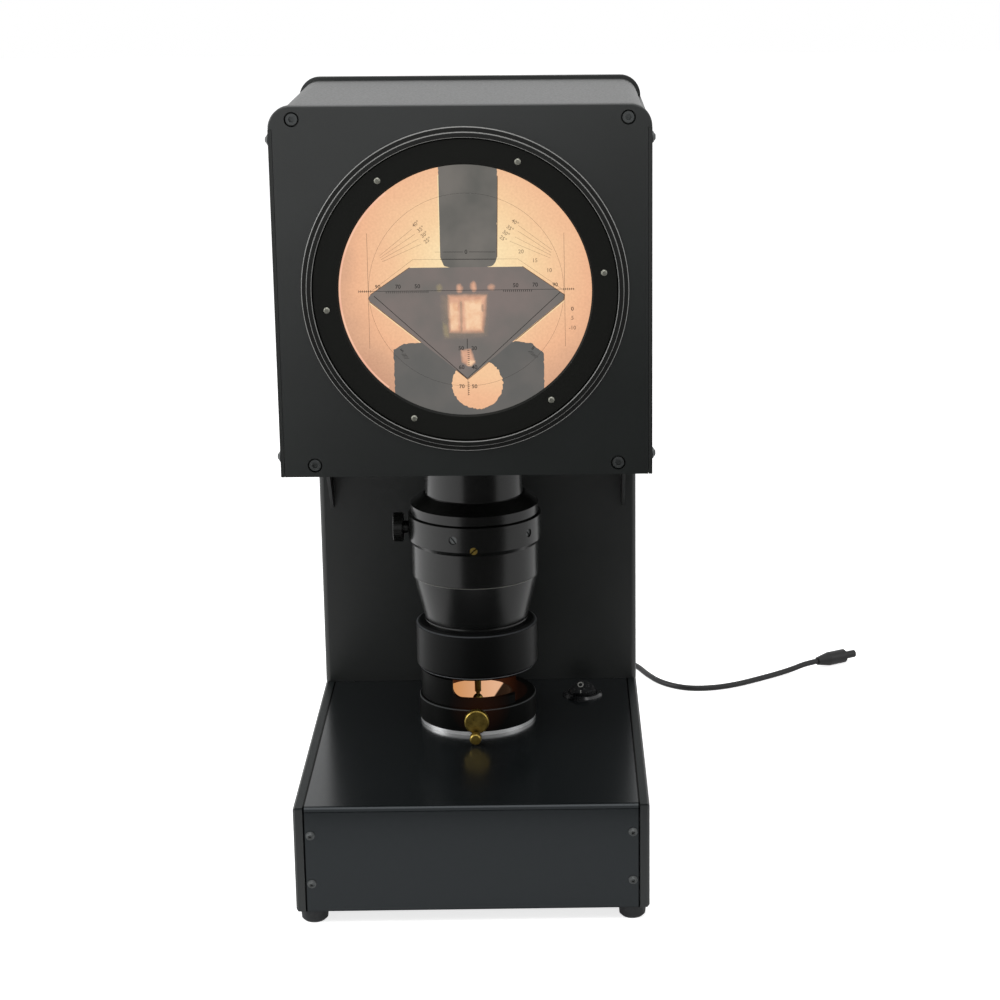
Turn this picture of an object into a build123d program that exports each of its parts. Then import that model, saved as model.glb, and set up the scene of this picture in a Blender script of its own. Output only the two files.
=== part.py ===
# Diamond proportion scope: a lit stage, a zoom lens, a mirror and a round screen on one stand.
# Millimetres, +Z up, front towards -Y. The origin is on the table, under the middle of the base.
from build123d import *
import math
import os

# Base
base_width = 198.2
base_depth = 272.0
base_height = 62.0
side_plate_wall = 5.3
side_plate_chamfer = 1.2
sheet_wall = 2.0
sheet_bend = 3.0
foot_height = 8.0
foot_top_radius = 8.0
foot_low_radius = 7.4
foot_edge_round = 1.4
foot_inset_x = 9.5
foot_inset_y = 9.0
frame_bar = 8.0
bar_edge = 0.8
seam = 0.2

# Column
column_depth = 58.0
column_top = 432.0
column_bend = 3.0
gusset_wall = 2.0
gusset_reach = 52.0
gusset_drop = 65.0
gusset_inset = 8.1
gusset_lip = 10.0
gusset_nose = 4.0
gusset_toe = 3.0

# Head
head_width = 204.0
head_height = 202.2
head_low = 250.3
head_reach = 179.0
front_plate_wall = 6.0
back_plate_wall = 5.0
plate_corner = 12.0
plate_edge_round = 0.8
side_panel_wall = 2.0
side_panel_drop = 12.5
cover_inset = 2.0
cover_wall = 1.0
tie_bar_radius = 3.8
top_bar_inset_x = 12.8
top_bar_inset_z = 7.1
low_bar_inset_x = 18.8
low_bar_inset_z = 6.5

# Screen: its centre sits a little to the right of the head's middle and above it
screen_x = 1.1
screen_rise = 1.6
bezel_radius = 88.3
bezel_middle_radius = 85.5
bezel_bore = 82.5
bezel_step = 1.8
bezel_step_count = 2
bezel_spigot = 86.0
bezel_rear_bore = 84.9
bezel_lip = 3.2
running_gap = 0.3
retaining_ring_wall = 1.8
window_radius = 68.2
window_chamfer = 0.9
ring_edge = 0.4
glass_radius = 72.5
glass_wall = 3.0
carrier_bore = 69.5
carrier_flange_wall = 3.2
ring_screw_circle = 75.4
ring_screw_turn = 7.3
ring_screw_count = 6
lock_ring_wall = 2.0
lock_ring_bore = 80.0
lock_ring_radius = 91.0

# Lens column
lens_reach = 67.0
tube_radius = 29.4
tube_wall = 2.4
tube_flange_radius = 39.0
tube_flange_wall = 3.0
barrel_top = 212.2
collar_radius = 38.2
collar_height = 12.0
collar_slope = 6.0
collar_lip = 1.0
groove = 0.4
groove_depth = 0.9
body_radius = 39.8
body_height = 17.8
body_chamfer = 2.6
waist_radius = 38.0
waist_height = 20.0
waist_chamfer = 0.5
cone_top_radius = 37.6
cone_low_radius = 31.1
cone_height = 27.1
barrel_bore = 25.0
tube_socket = 19.7
sleeve_radius = 30.0
sleeve_bore = 26.5
sleeve_socket = 16.0
sleeve_shoulder = 1.0
sleeve_rise = 0.6
stop_radius = 31.4
stop_wall = 0.9
zoom_ring_radius = 36.6
zoom_ring_low = 104.4
zoom_ring_height = 28.4
zoom_ring_chamfer = 2.7
zoom_ring_undercut = 1.8
zoom_ring_bead = 2.2
zoom_ring_bead_drop = 1.3
carriage_height = 16.0
carriage_low = 108.0
lens_radius = 23.0
lens_bulge = 3.0
lens_rim = 2.0
lens_ledge = 2.0
lens_ledge_height = 3.0
objective_rise = 12.0
clamp_knob_radius = 8.8
clamp_knob_wall = 6.0
clamp_knob_neck = 3.8
clamp_knob_stand = 3.1
clamp_knob_z = 190.6
set_screw_radius = 2.4
brass_screw_radius = 2.2

# Stage
stage_radius = 35.4
stage_trim_height = 2.4
stage_trim_radius = 35.0
stage_flange_height = 13.9
stage_edge_round = 0.6
stage_light_bore = 21.0
chamber_radius = 33.9
chamber_wall = 4.0
chamber_foot = 0.5
chamber_height = 17.0
chamber_cut_x = 23.0
window_sill = 6.0
window_left = 13.9
window_round = 5.6
liner_wall = 1.0
liner_front_cut = 12.0
holder_rod_radius = 1.5
holder_rod_z = 82.4
knob_round = 0.6
holder_knob_radius = 7.15
holder_knob_wall = 5.0
holder_knob_stand = 6.5
holder_post_radius = 1.2
holder_cup_low = 90.0
holder_cup_top = 97.0
holder_cup_radius = 1.95
holder_dome_radius = 3.1
holder_dome_rise = 4.1
holder_dome_setback = 20.4
stone_post_width = 4.2
stone_post_y = 22.0
stone_post_depth = 4.0
stone_post_drop = 1.5
holder_x = 0.4
holder_inner_length = 28.0
holder_arm_setback = 24.0
lock_x = -0.2
lock_knob_radius = 3.3
lock_knob_wall = 5.5
lock_knob_stand = 13.0
lock_knob_rod = 1.0
lock_knob_length = 10.0
lock_knob_z = 74.1

# Lamp and power
condenser_tube_radius = 23.0
condenser_tube_wall = 2.0
condenser_drop = 12.0
condenser_gap = 0.1
condenser_rim = 3.0
condenser_bulge = 4.0
lamp_dome_radius = 4.0
lamp_dome_height = 2.5
lamp_board_wall = 1.6
lamp_board_z = 26.0
heat_sink_side = 44.0
heat_sink_base = 4.0
heat_sink_fins = 6
heat_sink_fin_wall = 1.6
heat_sink_fin_height = 9.0
heat_sink_post = 2.4
heat_sink_post_inset = 3.0
power_board_length = 70.0
power_board_width = 46.0
power_board_wall = 1.6
power_board_stand = 6.0
power_board_setback = 46.0
power_board_inset = 4.0
power_board_post = 2.5
transformer_length = 20.0
transformer_width = 24.0
transformer_height = 14.0
transformer_inset = 7.0
capacitor_radius = 5.0
capacitor_height = 12.0
capacitor_spacing = 16.0
capacitor_inset = 17.0

# Switch
switch_x = 64.4
switch_setback = 31.0
switch_flange_radius = 12.4
switch_flange_wall = 2.0
switch_flange_slope = 1.4
switch_flange_edge = 0.6
switch_base_wall = 4.0
switch_body_radius = 10.4
switch_body_depth = 18.0
rocker_width = 16.6
rocker_length = 14.8
switch_bore = 9.0
rocker_pivot_drop = 1.5
rocker_pin_radius = 1.0
rocker_pin_gap = 0.1
rocker_tilt = 14.0
rocker_rise = 4.0
rocker_hollow = 0.4
rocker_depth = 5.0

# Lead
cord_radius = 2.0
lay_gap = 0.05
gland_x = -30.0
gland_z = 24.0
gland_length = 15.0
gland_root_radius = 5.5
gland_tip_radius = 3.2
gland_neck_length = 6.0
gland_collar = 2.5
gland_shoulder = 1.5
gland_gap = 0.1
coil_x = 26.0
coil_y = 232.0
coil_middle_radius = 24.0
coil_turns_across = 2
coil_layers = 4
plug_radius = 5.0
plug_sleeve = 0.9
plug_taper = 10.0
plug_length = 24.0
plug_tip_radius = 2.75
plug_tip_length = 9.5

# Screws
cap_head_radius = 3.45
cap_head_height = 4.0
cap_head_sink = 0.3
cap_head_edge = 0.4
cap_counterbore = 4.0
cap_shank_radius = 1.9
cap_shank_length = 14.0
cap_hole = 2.2
cap_socket_radius = 1.7
cap_socket_depth = 2.0
button_head_radius = 2.5
button_head_height = 1.6
button_shank_radius = 1.4
button_shank_length = 6.0
button_hole = 1.6
side_button_radius = 3.1
side_button_height = 1.8
side_screw_setback = 4.0
side_screw_rise = 11.0
side_screw_drop = 5.5

# Places that follow from the sizes above
front_y = -base_depth / 2
rear_y = base_depth / 2
base_low = foot_height
base_top = foot_height + base_height
inner_x = base_width / 2 - side_plate_wall
column_front = rear_y - column_depth
head_back = column_front
head_front = head_back - head_reach
head_top = head_low + head_height
head_side = head_width / 2
panel_inner = head_side - side_panel_wall
lens_y = column_front - lens_reach
switch_y = column_front - switch_setback
panel_top = head_top - side_panel_drop
screen_z = head_low + head_height / 2 + screen_rise
plate_rear = head_front + front_plate_wall
back_plate_front = head_back - back_plate_wall
screw_column_x = inner_x - frame_bar / 2

os.makedirs("parts", exist_ok=True)


def save(name, shape):
    """Name the sub-part and write it to its own file."""
    shape.label = name
    export_step(shape, f"parts/{name}.step")


def block(x0, x1, y0, y1, z0, z1):
    """A box between two corners."""
    middle = Pos((x0 + x1) / 2, (y0 + y1) / 2, (z0 + z1) / 2)
    return middle * Box(x1 - x0, y1 - y0, z1 - z0)


def turned(points, place):
    """A turned piece: an outline of (radius, height) points spun about the local Z axis."""
    outline = [(radius, 0, height) for radius, height in points]
    face = make_face(Polyline(*outline, close=True))
    return place * revolve(face, Axis.Z)


def upright(y=lens_y, x=0.0, z=0.0):
    """A place whose axis stands up."""
    return Pos(x, y, z)


def facing_front(x, y, z):
    """A place whose axis points to the front."""
    return Pos(x, y, z) * Rot(90, 0, 0)


def facing_rear(x, y, z):
    """A place whose axis points to the rear."""
    return Pos(x, y, z) * Rot(-90, 0, 0)


def facing_side(x, y, z):
    """A place whose axis points out of the side that x is on."""
    return Pos(x, y, z) * Rot(0, math.copysign(90, x), 0)


def peg(radius, low, high, place):
    """A plain round rod between two heights of a place."""
    return place * Pos(0, 0, (low + high) / 2) * Cylinder(radius, high - low)


def button_screw(place, head_radius, head_height, shank_length):
    """A domed screw whose head sits on the plane of its place."""
    rise = head_height
    bow = (head_radius ** 2 + rise ** 2) / (2 * rise)
    lip = head_radius * 0.75
    crown = math.sqrt(bow ** 2 - lip ** 2) - (bow - rise)
    profile = [
        (0, -shank_length),
        (button_shank_radius, -shank_length),
        (button_shank_radius, 0),
        (head_radius, 0),
        (head_radius, head_height * 0.3),
        (lip, crown),
        (head_radius * 0.4, head_height),
        (0, head_height),
    ]
    screw = turned(profile, place)
    socket = extrude(RegularPolygon(head_radius * 0.4, 6), amount=-head_height * 0.6)
    return screw - place * Pos(0, 0, head_height) * socket


def cap_screw(place):
    """A socket-head screw whose head is sunk in a counterbore below the plane of its place."""
    profile = [
        (0, -cap_head_height - cap_shank_length),
        (cap_shank_radius, -cap_head_height - cap_shank_length),
        (cap_shank_radius, -cap_head_height),
        (cap_head_radius, -cap_head_height),
        (cap_head_radius, -cap_head_sink - cap_head_edge),
        (cap_head_radius - cap_head_edge, -cap_head_sink),
        (0, -cap_head_sink),
    ]
    screw = turned(profile, place)
    socket = extrude(RegularPolygon(cap_socket_radius, 6), amount=-cap_socket_depth)
    return screw - place * Pos(0, 0, -cap_head_sink) * socket


def cap_hole_cut(place):
    """The counterbore and clearance hole that a cap screw needs."""
    bore = peg(cap_counterbore, -cap_head_height, 1, place)
    return bore + peg(cap_hole, -cap_head_height - cap_shank_length, 1, place)


def group(solids):
    """Several separate solids in one sub-part."""
    return Compound(children=list(solids))


# Base side plates
def base_side_plate(side):
    """A thick plate with chamfered outer edges that runs the whole depth of the base."""
    outer = side * base_width / 2
    inner = side * inner_x
    plate = block(min(outer, inner), max(outer, inner), front_y, rear_y, base_low, base_top)
    edges = [edge for edge in plate.edges() if abs(edge.center().X - outer) < 0.01]
    return chamfer(edges, side_plate_chamfer)


save("base_side_plate_left", base_side_plate(-1))
save("base_side_plate_right", base_side_plate(1))

# Base cover, bent over the front edge
panel_screw_heights = [base_low + base_height * 0.27, base_low + base_height * 0.735]
cover_half = inner_x - seam
cover_outline = Plane.YZ * make_face(
    Polyline(
        (front_y, base_low),
        (front_y, base_top),
        (column_front - seam, base_top),
        (column_front - seam, base_top - sheet_wall),
        (front_y + sheet_wall, base_top - sheet_wall),
        (front_y + sheet_wall, base_low),
        close=True,
    )
)
base_cover = extrude(cover_outline, amount=cover_half, both=True)


def edges_along_x(shape, y, z):
    """The edges parallel to X at one place."""
    found = shape.edges().filter_by(Axis.X)
    return [edge for edge in found if abs(edge.center().Y - y) < 0.01 and abs(edge.center().Z - z) < 0.01]


base_cover = fillet(edges_along_x(base_cover, front_y, base_top), sheet_bend)
inner_bend = edges_along_x(base_cover, front_y + sheet_wall, base_top - sheet_wall)
base_cover = fillet(inner_bend, sheet_bend - sheet_wall)
switch_place = Pos(switch_x, switch_y, base_top)
cover_light_hole = stage_light_bore - 2.0
base_cover -= peg(switch_body_radius + seam, -5, 5, switch_place)
base_cover -= peg(cover_light_hole, -5, 5, upright(z=base_top))
front_screw_places = []
for side in (-1, 1):
    for height in panel_screw_heights:
        front_screw_places.append(facing_front(side * screw_column_x, front_y, height))
for place in front_screw_places:
    base_cover -= peg(button_hole, -sheet_wall - 1, 1, place)
save("base_cover", base_cover)


# Base bottom plate with vent slots
vent_count = 7
vent_pitch = 9.0
vent_width = 3.0
vent_length = 40.0
bottom_half = inner_x - seam
bottom_front = front_y + sheet_wall + seam
bottom_rear = rear_y - sheet_wall - seam
bottom_top = base_low + sheet_wall
base_bottom_plate = block(-bottom_half, bottom_half, bottom_front, bottom_rear, base_low, bottom_top)
foot_x = base_width / 2 - foot_inset_x
foot_y = base_depth / 2 - foot_inset_y
foot_places = [Pos(x, y, 0) for x in (-foot_x, foot_x) for y in (-foot_y, foot_y)]
foot_screw_hole = 2.2
foot_shank_radius = 1.9
foot_screw_rise = 8.0
foot_screw_gap = 0.1
for place in foot_places:
    base_bottom_plate -= peg(foot_screw_hole, base_low - 1, bottom_top + 1, place)
for index in range(vent_count):
    vent_x = (index - (vent_count - 1) / 2) * vent_pitch
    vent = SlotOverall(vent_length, vent_width, rotation=90)
    base_bottom_plate -= Pos(vent_x, lens_y, base_low - 1) * extrude(vent, amount=sheet_wall + 2)
save("base_bottom_plate", base_bottom_plate)

# Base rear panel with the hole for the gland
gland_hole = gland_root_radius - gland_shoulder
rear_plate_top = base_top - seam
base_rear_panel = block(-bottom_half, bottom_half, rear_y - sheet_wall, rear_y, base_low, rear_plate_top)
base_rear_panel -= peg(gland_hole, -sheet_wall - 1, 1, facing_rear(gland_x, rear_y, gland_z))
rear_screw_places = []
for side in (-1, 1):
    for height in panel_screw_heights:
        rear_screw_places.append(facing_rear(side * screw_column_x, rear_y, height))
for place in rear_screw_places:
    base_rear_panel -= peg(button_hole, -sheet_wall - 1, 1, place)
save("base_rear_panel", base_rear_panel)

# Square bars: short ones behind the base front, long ones from the base up the column
bar_outer = inner_x - seam / 2
bar_inner = inner_x - frame_bar
bar_front_y = front_y + sheet_wall + seam / 2
bar_rear_y = rear_y - sheet_wall - seam / 2
bar_low = bottom_top + seam / 2
bar_top = column_top - sheet_wall - seam
frame_bars = []
for side in (-1, 1):
    low_x = min(side * bar_inner, side * bar_outer)
    high_x = max(side * bar_inner, side * bar_outer)
    short_top = base_top - sheet_bend
    short_bar = block(low_x, high_x, bar_front_y, bar_front_y + frame_bar, bar_low, short_top)
    short_bar = chamfer(short_bar.edges().filter_by(Axis.Z).sort_by(Axis.Y)[-2:], bar_edge)
    frame_bars.append(short_bar)
    long_bar = block(low_x, high_x, bar_rear_y - frame_bar, bar_rear_y, bar_low, bar_top)
    frame_bars.append(long_bar)
screw_bore_depth = button_shank_length + 2
column_screw_inset = 20.0
column_screw_heights = [
    base_top + column_screw_inset,
    (base_top + column_top) / 2,
    column_top - column_screw_inset,
]
column_screw_places = []
for side in (-1, 1):
    for height in column_screw_heights:
        column_screw_places.append(facing_rear(side * screw_column_x, rear_y, height))
panel_screw_places = front_screw_places + rear_screw_places + column_screw_places
for index, bar in enumerate(frame_bars):
    for place in panel_screw_places:
        near = abs(place.position.X - bar.center().X) < frame_bar
        if near and abs(place.position.Y - bar.center().Y) < 2 * frame_bar:
            bar = bar - peg(button_hole, -screw_bore_depth, 1, place)
    for place in foot_places:
        bar = bar - peg(foot_shank_radius + foot_screw_gap, 0, bottom_top + foot_screw_rise + 1, place)
    frame_bars[index] = bar
save("frame_bars", group(frame_bars))

panel_screws = [
    button_screw(place, button_head_radius, button_head_height, button_shank_length)
    for place in panel_screw_places
]
save("panel_screws", group(panel_screws))

# Rubber feet and their screws
foot_profile = [
    (foot_screw_hole, 0),
    (foot_low_radius - foot_edge_round, 0),
    (foot_low_radius, foot_edge_round),
    (foot_top_radius, foot_height),
    (foot_screw_hole, foot_height),
]
foot_recess_radius = 4.2
foot_recess = 2.5
foot_head_radius = foot_recess_radius - 0.6
foot_head_low = 0.6
rubber_feet = []
foot_screws = []
for place in foot_places:
    foot = turned(foot_profile, place) - peg(foot_recess_radius, -1, foot_recess, place)
    rubber_feet.append(foot)
    screw_profile = [
        (0, foot_head_low),
        (foot_head_radius, foot_head_low),
        (foot_head_radius, foot_recess),
        (foot_shank_radius, foot_recess),
        (foot_shank_radius, bottom_top + foot_screw_rise),
        (0, bottom_top + foot_screw_rise),
    ]
    foot_screws.append(turned(screw_profile, place))
save("rubber_feet", group(rubber_feet))
save("foot_screws", group(foot_screws))

# Column: a bent channel, its back panel and the gussets under the head
column_half = base_width / 2
channel = block(-column_half, column_half, column_front, rear_y, base_top, column_top)
upright_edges = channel.edges().filter_by(Axis.Z).sort_by(Axis.Y)[:2]
channel = fillet(upright_edges, column_bend)
hollow_half = column_half - sheet_wall
hollow_front = column_front + sheet_wall
hollow_top = column_top - sheet_wall
hollow = block(-hollow_half, hollow_half, hollow_front, rear_y + 1, base_top - 1, hollow_top)
hollow = fillet(hollow.edges().filter_by(Axis.Z).sort_by(Axis.Y)[:2], column_bend - sheet_wall)
column_channel = channel - hollow
mount_screw_x = 60.0
mount_screw_inset = 30.0
mount_screw_z = [head_low + mount_screw_inset, column_top - mount_screw_inset]
mount_places = []
for x in (-mount_screw_x, mount_screw_x):
    for z in mount_screw_z:
        mount_places.append(facing_rear(x, hollow_front, z))
mount_hole = 2.7
for place in mount_places:
    column_channel -= peg(mount_hole, -sheet_wall - 1, 1, place)
save("column_channel", column_channel)

panel_half = hollow_half - seam
back_panel_top = column_top - sheet_wall - seam
column_back_panel = block(-panel_half, panel_half, rear_y - sheet_wall, rear_y, base_top, back_panel_top)
column_vent_count = 6
column_vent_pitch = 8.0
column_vent_length = 90.0
column_vent_rise = 60.0
for place in column_screw_places:
    column_back_panel -= peg(button_hole, -sheet_wall - 1, 1, place)
for index in range(column_vent_count):
    vent_z = base_top + column_vent_rise + index * column_vent_pitch
    vent = SlotOverall(column_vent_length, vent_width)
    column_back_panel -= facing_rear(0, rear_y + 1, vent_z) * extrude(vent, amount=-sheet_wall - 2)
save("column_back_panel", column_back_panel)

gusset_x = base_width / 2 - gusset_inset


def gusset(side):
    """A triangular web under the head with a narrow lip bent inwards along its top."""
    corner = Polyline(
        (column_front, head_low),
        (column_front - gusset_reach, head_low),
        (column_front - gusset_reach, head_low - gusset_nose),
        (column_front - gusset_toe, head_low - gusset_drop),
        (column_front, head_low - gusset_drop),
        close=True,
    )
    web = extrude(Plane.YZ * make_face(corner), amount=gusset_wall / 2, both=True)
    web = Pos(side * gusset_x, 0, 0) * web
    lip_outer = side * (gusset_x + gusset_wall / 2)
    lip_inner = side * (gusset_x + gusset_wall / 2 - gusset_lip)
    low_x = min(lip_outer, lip_inner)
    high_x = max(lip_outer, lip_inner)
    lip = block(low_x, high_x, column_front - gusset_reach, column_front, head_low - gusset_wall, head_low)
    return web + lip


save("gusset_left", gusset(-1))
save("gusset_right", gusset(1))

# Head plates: rounded top corners, and a step at each side for the side panels
screen_place = facing_front(screen_x, head_front, screen_z)
top_bar_x = head_side - top_bar_inset_x
low_bar_x = head_side - low_bar_inset_x
top_bar_z = head_top - top_bar_inset_z
low_bar_z = head_low + low_bar_inset_z
bar_points = []
for side in (-1, 1):
    bar_points.append((side * top_bar_x, top_bar_z))
    bar_points.append((side * low_bar_x, low_bar_z))


def head_plate(rear, front):
    """A head plate between two depths, with its side steps."""
    plate = block(-head_side, head_side, front, rear, head_low, head_top)
    top_edges = plate.edges().filter_by(Axis.Y).sort_by(Axis.Z)[-2:]
    plate = fillet(top_edges, plate_corner)
    for side in (-1, 1):
        step_x0 = min(side * (panel_inner - seam), side * (head_side + 1))
        step_x1 = max(side * (panel_inner - seam), side * (head_side + 1))
        plate -= block(step_x0, step_x1, front - 1, rear + 1, head_low - 1, panel_top + seam)
    return plate


def outline_edges(plate, y):
    """The edges round the top and the corners of one face of a head plate."""
    found = [edge for edge in plate.edges() if abs(edge.center().Y - y) < 0.01]
    return [edge for edge in found if edge.center().Z > panel_top + 2 * seam]


head_front_plate = head_plate(plate_rear, head_front)
head_front_plate = fillet(outline_edges(head_front_plate, head_front), plate_edge_round)
head_front_plate -= peg(bezel_spigot + running_gap, -front_plate_wall - 1, 1, screen_place)
front_cap_places = [facing_front(x, head_front, z) for x, z in bar_points]
for place in front_cap_places:
    head_front_plate -= cap_hole_cut(place)

head_back_plate = head_plate(head_back, back_plate_front)
back_cap_places = [facing_rear(x, head_back, z) for x, z in bar_points]
for place in back_cap_places:
    head_back_plate -= cap_hole_cut(place)
mount_shank_length = sheet_wall + back_plate_wall
mount_bore_depth = mount_shank_length + 1
for place in mount_places:
    head_back_plate -= peg(mount_hole, -mount_bore_depth, 0, place)

side_screw_front_y = head_front + side_screw_setback
side_screw_rear_y = head_back - back_plate_wall / 2
side_screw_z = [head_low + side_screw_rise, panel_top - side_screw_drop]
side_screw_places = []
for side in (-1, 1):
    for y in (side_screw_front_y, side_screw_rear_y):
        for z in side_screw_z:
            side_screw_places.append(facing_side(side * head_side, y, z))
for place in side_screw_places:
    bore = peg(button_hole, -button_shank_length - side_panel_wall - 1, 1, place)
    head_front_plate -= bore
    head_back_plate -= bore
save("head_front_plate", head_front_plate)
save("head_back_plate", head_back_plate)

cap_screws = [cap_screw(place) for place in front_cap_places + back_cap_places]
save("head_cap_screws", group(cap_screws))

side_shank_length = button_shank_length + side_panel_wall
side_screws = [
    button_screw(place, side_button_radius, side_button_height, side_shank_length)
    for place in side_screw_places
]
save("side_panel_screws", group(side_screws))

# Head casing: an inverted U cover, two side panels and the bottom plate
cover_outer = panel_inner - seam
cover_top = head_top - cover_inset
cover_low = head_low + sheet_wall + seam
cover_front = plate_rear + seam / 2
cover_rear = back_plate_front - seam / 2
cover_corner = plate_corner - cover_inset
shell = block(-cover_outer, cover_outer, cover_front, cover_rear, cover_low, cover_top)
shell = fillet(shell.edges().filter_by(Axis.Y).sort_by(Axis.Z)[-2:], cover_corner)
core_half = cover_outer - cover_wall
core = block(-core_half, core_half, cover_front - 1, cover_rear + 1, cover_low - 1, cover_top - cover_wall)
core = fillet(core.edges().filter_by(Axis.Y).sort_by(Axis.Z)[-2:], cover_corner - cover_wall)
save("head_top_cover", shell - core)


def head_side_panel(side):
    """A flat panel that laps the edges of both head plates."""
    inner = side * panel_inner
    outer = side * head_side
    panel = block(min(inner, outer), max(inner, outer), head_front, head_back, head_low, panel_top)
    for place in side_screw_places:
        if place.position.X * side > 0:
            panel -= peg(button_hole, -side_panel_wall - 1, 1, place)
    return panel


save("head_side_panel_left", head_side_panel(-1))
save("head_side_panel_right", head_side_panel(1))

floor_top = head_low + sheet_wall
head_bottom_plate = block(-cover_outer, cover_outer, cover_front, cover_rear, head_low, floor_top)
tube_hole = tube_radius + seam
head_bottom_plate -= peg(tube_hole, -1, sheet_wall + 1, upright(z=head_low))
save("head_bottom_plate", head_bottom_plate)

tie_bars = []
for x, z in bar_points:
    bar = peg(tie_bar_radius, cover_front, cover_rear, facing_rear(x, 0, z))
    bore_depth = cap_head_height + cap_shank_length + 1
    for place in (facing_front(x, head_front, z), facing_rear(x, head_back, z)):
        bar -= peg(cap_hole, -bore_depth, 0, place)
    tie_bars.append(bar)
save("head_tie_bars", group(tie_bars))

mount_head_radius = 4.6
mount_head_height = 2.6
mount_shank_radius = 2.4
mount_screws = []
for place in mount_places:
    profile = [
        (0, -mount_shank_length),
        (mount_shank_radius, -mount_shank_length),
        (mount_shank_radius, 0),
        (mount_head_radius, 0),
        (mount_head_radius, mount_head_height * 0.5),
        (mount_head_radius * 0.7, mount_head_height),
        (0, mount_head_height),
    ]
    mount_screws.append(turned(profile, place))
save("head_mount_screws", group(mount_screws))

# Screen bezel: two raised steps round the bore, and a spigot through the front plate
bezel_height = bezel_step * bezel_step_count
bezel_edge = 0.5
bezel_shoulder = 0.6
bezel_seat = -front_plate_wall + bezel_lip + bezel_shoulder
save(
    "screen_bezel",
    turned(
        [
            (bezel_bore, bezel_seat),
            (bezel_bore, bezel_height - bezel_edge),
            (bezel_bore + bezel_edge, bezel_height),
            (bezel_middle_radius - bezel_edge, bezel_height),
            (bezel_middle_radius, bezel_height - bezel_edge),
            (bezel_middle_radius, bezel_step),
            (bezel_radius - bezel_edge, bezel_step),
            (bezel_radius, bezel_step - bezel_edge),
            (bezel_radius, 0),
            (bezel_spigot, 0),
            (bezel_spigot, -front_plate_wall),
            (bezel_rear_bore, -front_plate_wall),
            (bezel_rear_bore, bezel_seat),
        ],
        screen_place,
    ),
)
save(
    "screen_lock_ring",
    turned(
        [
            (lock_ring_bore, -front_plate_wall - lock_ring_wall),
            (lock_ring_bore, -front_plate_wall),
            (lock_ring_radius, -front_plate_wall),
            (lock_ring_radius, -front_plate_wall - lock_ring_wall),
        ],
        screen_place,
    ),
)

# Turning screen: carrier, glass, retaining ring and its screws
carrier_low = -front_plate_wall + running_gap
carrier_flange_top = carrier_low + carrier_flange_wall
glass_seat = carrier_flange_top
glass_front = glass_seat + glass_wall
ring_front = glass_front + retaining_ring_wall
ring_outer = bezel_bore - running_gap
ring_screw_places = []
for index in range(ring_screw_count):
    angle = math.radians(ring_screw_turn + index * 360 / ring_screw_count)
    ring_screw_places.append(
        facing_front(
            screen_x + ring_screw_circle * math.cos(angle),
            head_front - ring_front,
            screen_z + ring_screw_circle * math.sin(angle),
        )
    )
ring_screw_hole = 1.1
ring_screw_shank = 0.95
ring_screw_head = 1.7
ring_screw_height = 0.9
ring_screw_length = 3.6
ring_screw_gap = 0.5
screen_carrier = turned(
    [
        (carrier_bore, carrier_low),
        (carrier_bore, glass_seat),
        (glass_radius + seam, glass_seat),
        (glass_radius + seam, glass_front),
        (ring_outer, glass_front),
        (ring_outer, carrier_flange_top),
        (bezel_rear_bore - running_gap, carrier_flange_top),
        (bezel_rear_bore - running_gap, carrier_low),
    ],
    screen_place,
)
retaining_ring = turned(
    [
        (window_radius, glass_front),
        (window_radius, ring_front - window_chamfer),
        (window_radius + window_chamfer, ring_front),
        (ring_outer - ring_edge, ring_front),
        (ring_outer, ring_front - ring_edge),
        (ring_outer, glass_front),
    ],
    screen_place,
)
ring_screws = []
for place in ring_screw_places:
    cut = peg(ring_screw_hole, -ring_screw_length - ring_screw_gap, 1, place)
    screen_carrier -= cut
    retaining_ring -= cut
    profile = [
        (0, -ring_screw_length),
        (ring_screw_shank, -ring_screw_length),
        (ring_screw_shank, 0),
        (ring_screw_head, 0),
        (ring_screw_head, ring_screw_height * 0.4),
        (ring_screw_head * 0.6, ring_screw_height),
        (0, ring_screw_height),
    ]
    ring_screws.append(turned(profile, place))
save("screen_carrier", screen_carrier)
save("screen_retaining_ring", retaining_ring)
save("ring_screws", group(ring_screws))
save("screen_glass", peg(glass_radius, glass_seat, glass_front, screen_place))

# Mirror at 45 degrees over the lens, and its sheet bracket
mirror_width = 150.0
mirror_length = 164.0
mirror_wall = 4.0
bracket_wall = 2.0
bracket_margin = 3.0
mirror_place = Pos(0, lens_y, screen_z) * Rot(135, 0, 0)
mirror = mirror_place * Pos(0, 0, -mirror_wall / 2) * Box(mirror_width, mirror_length, mirror_wall)
save("mirror", mirror)
tray_width = mirror_width + 2 * bracket_margin
tray_length = mirror_length - 2 * bracket_margin
tray_back = Pos(0, 0, -mirror_wall - bracket_wall / 2)
tray = mirror_place * tray_back * Box(tray_width, tray_length, bracket_wall)
cheek_rear = back_plate_front - seam / 2
reach = tray_length / 2 / math.sqrt(2)
cheek_step = (mirror_wall + bracket_wall) * math.sqrt(2)
cheek_toe = 4.0
cheek_low = screen_z - reach + cheek_toe + cheek_step
cheek = Polyline(
    (lens_y - reach + cheek_step, screen_z + reach),
    (lens_y + reach - cheek_toe, cheek_low),
    (cheek_rear, cheek_low),
    (cheek_rear, screen_z + reach),
    close=True,
)
mirror_bracket = tray
for side in (-1, 1):
    cheek_x = side * (tray_width / 2 - bracket_wall / 2)
    web = extrude(Plane.YZ * make_face(cheek), amount=bracket_wall / 2, both=True)
    mirror_bracket += Pos(cheek_x, 0, 0) * web
save("mirror_bracket", mirror_bracket)

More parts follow.
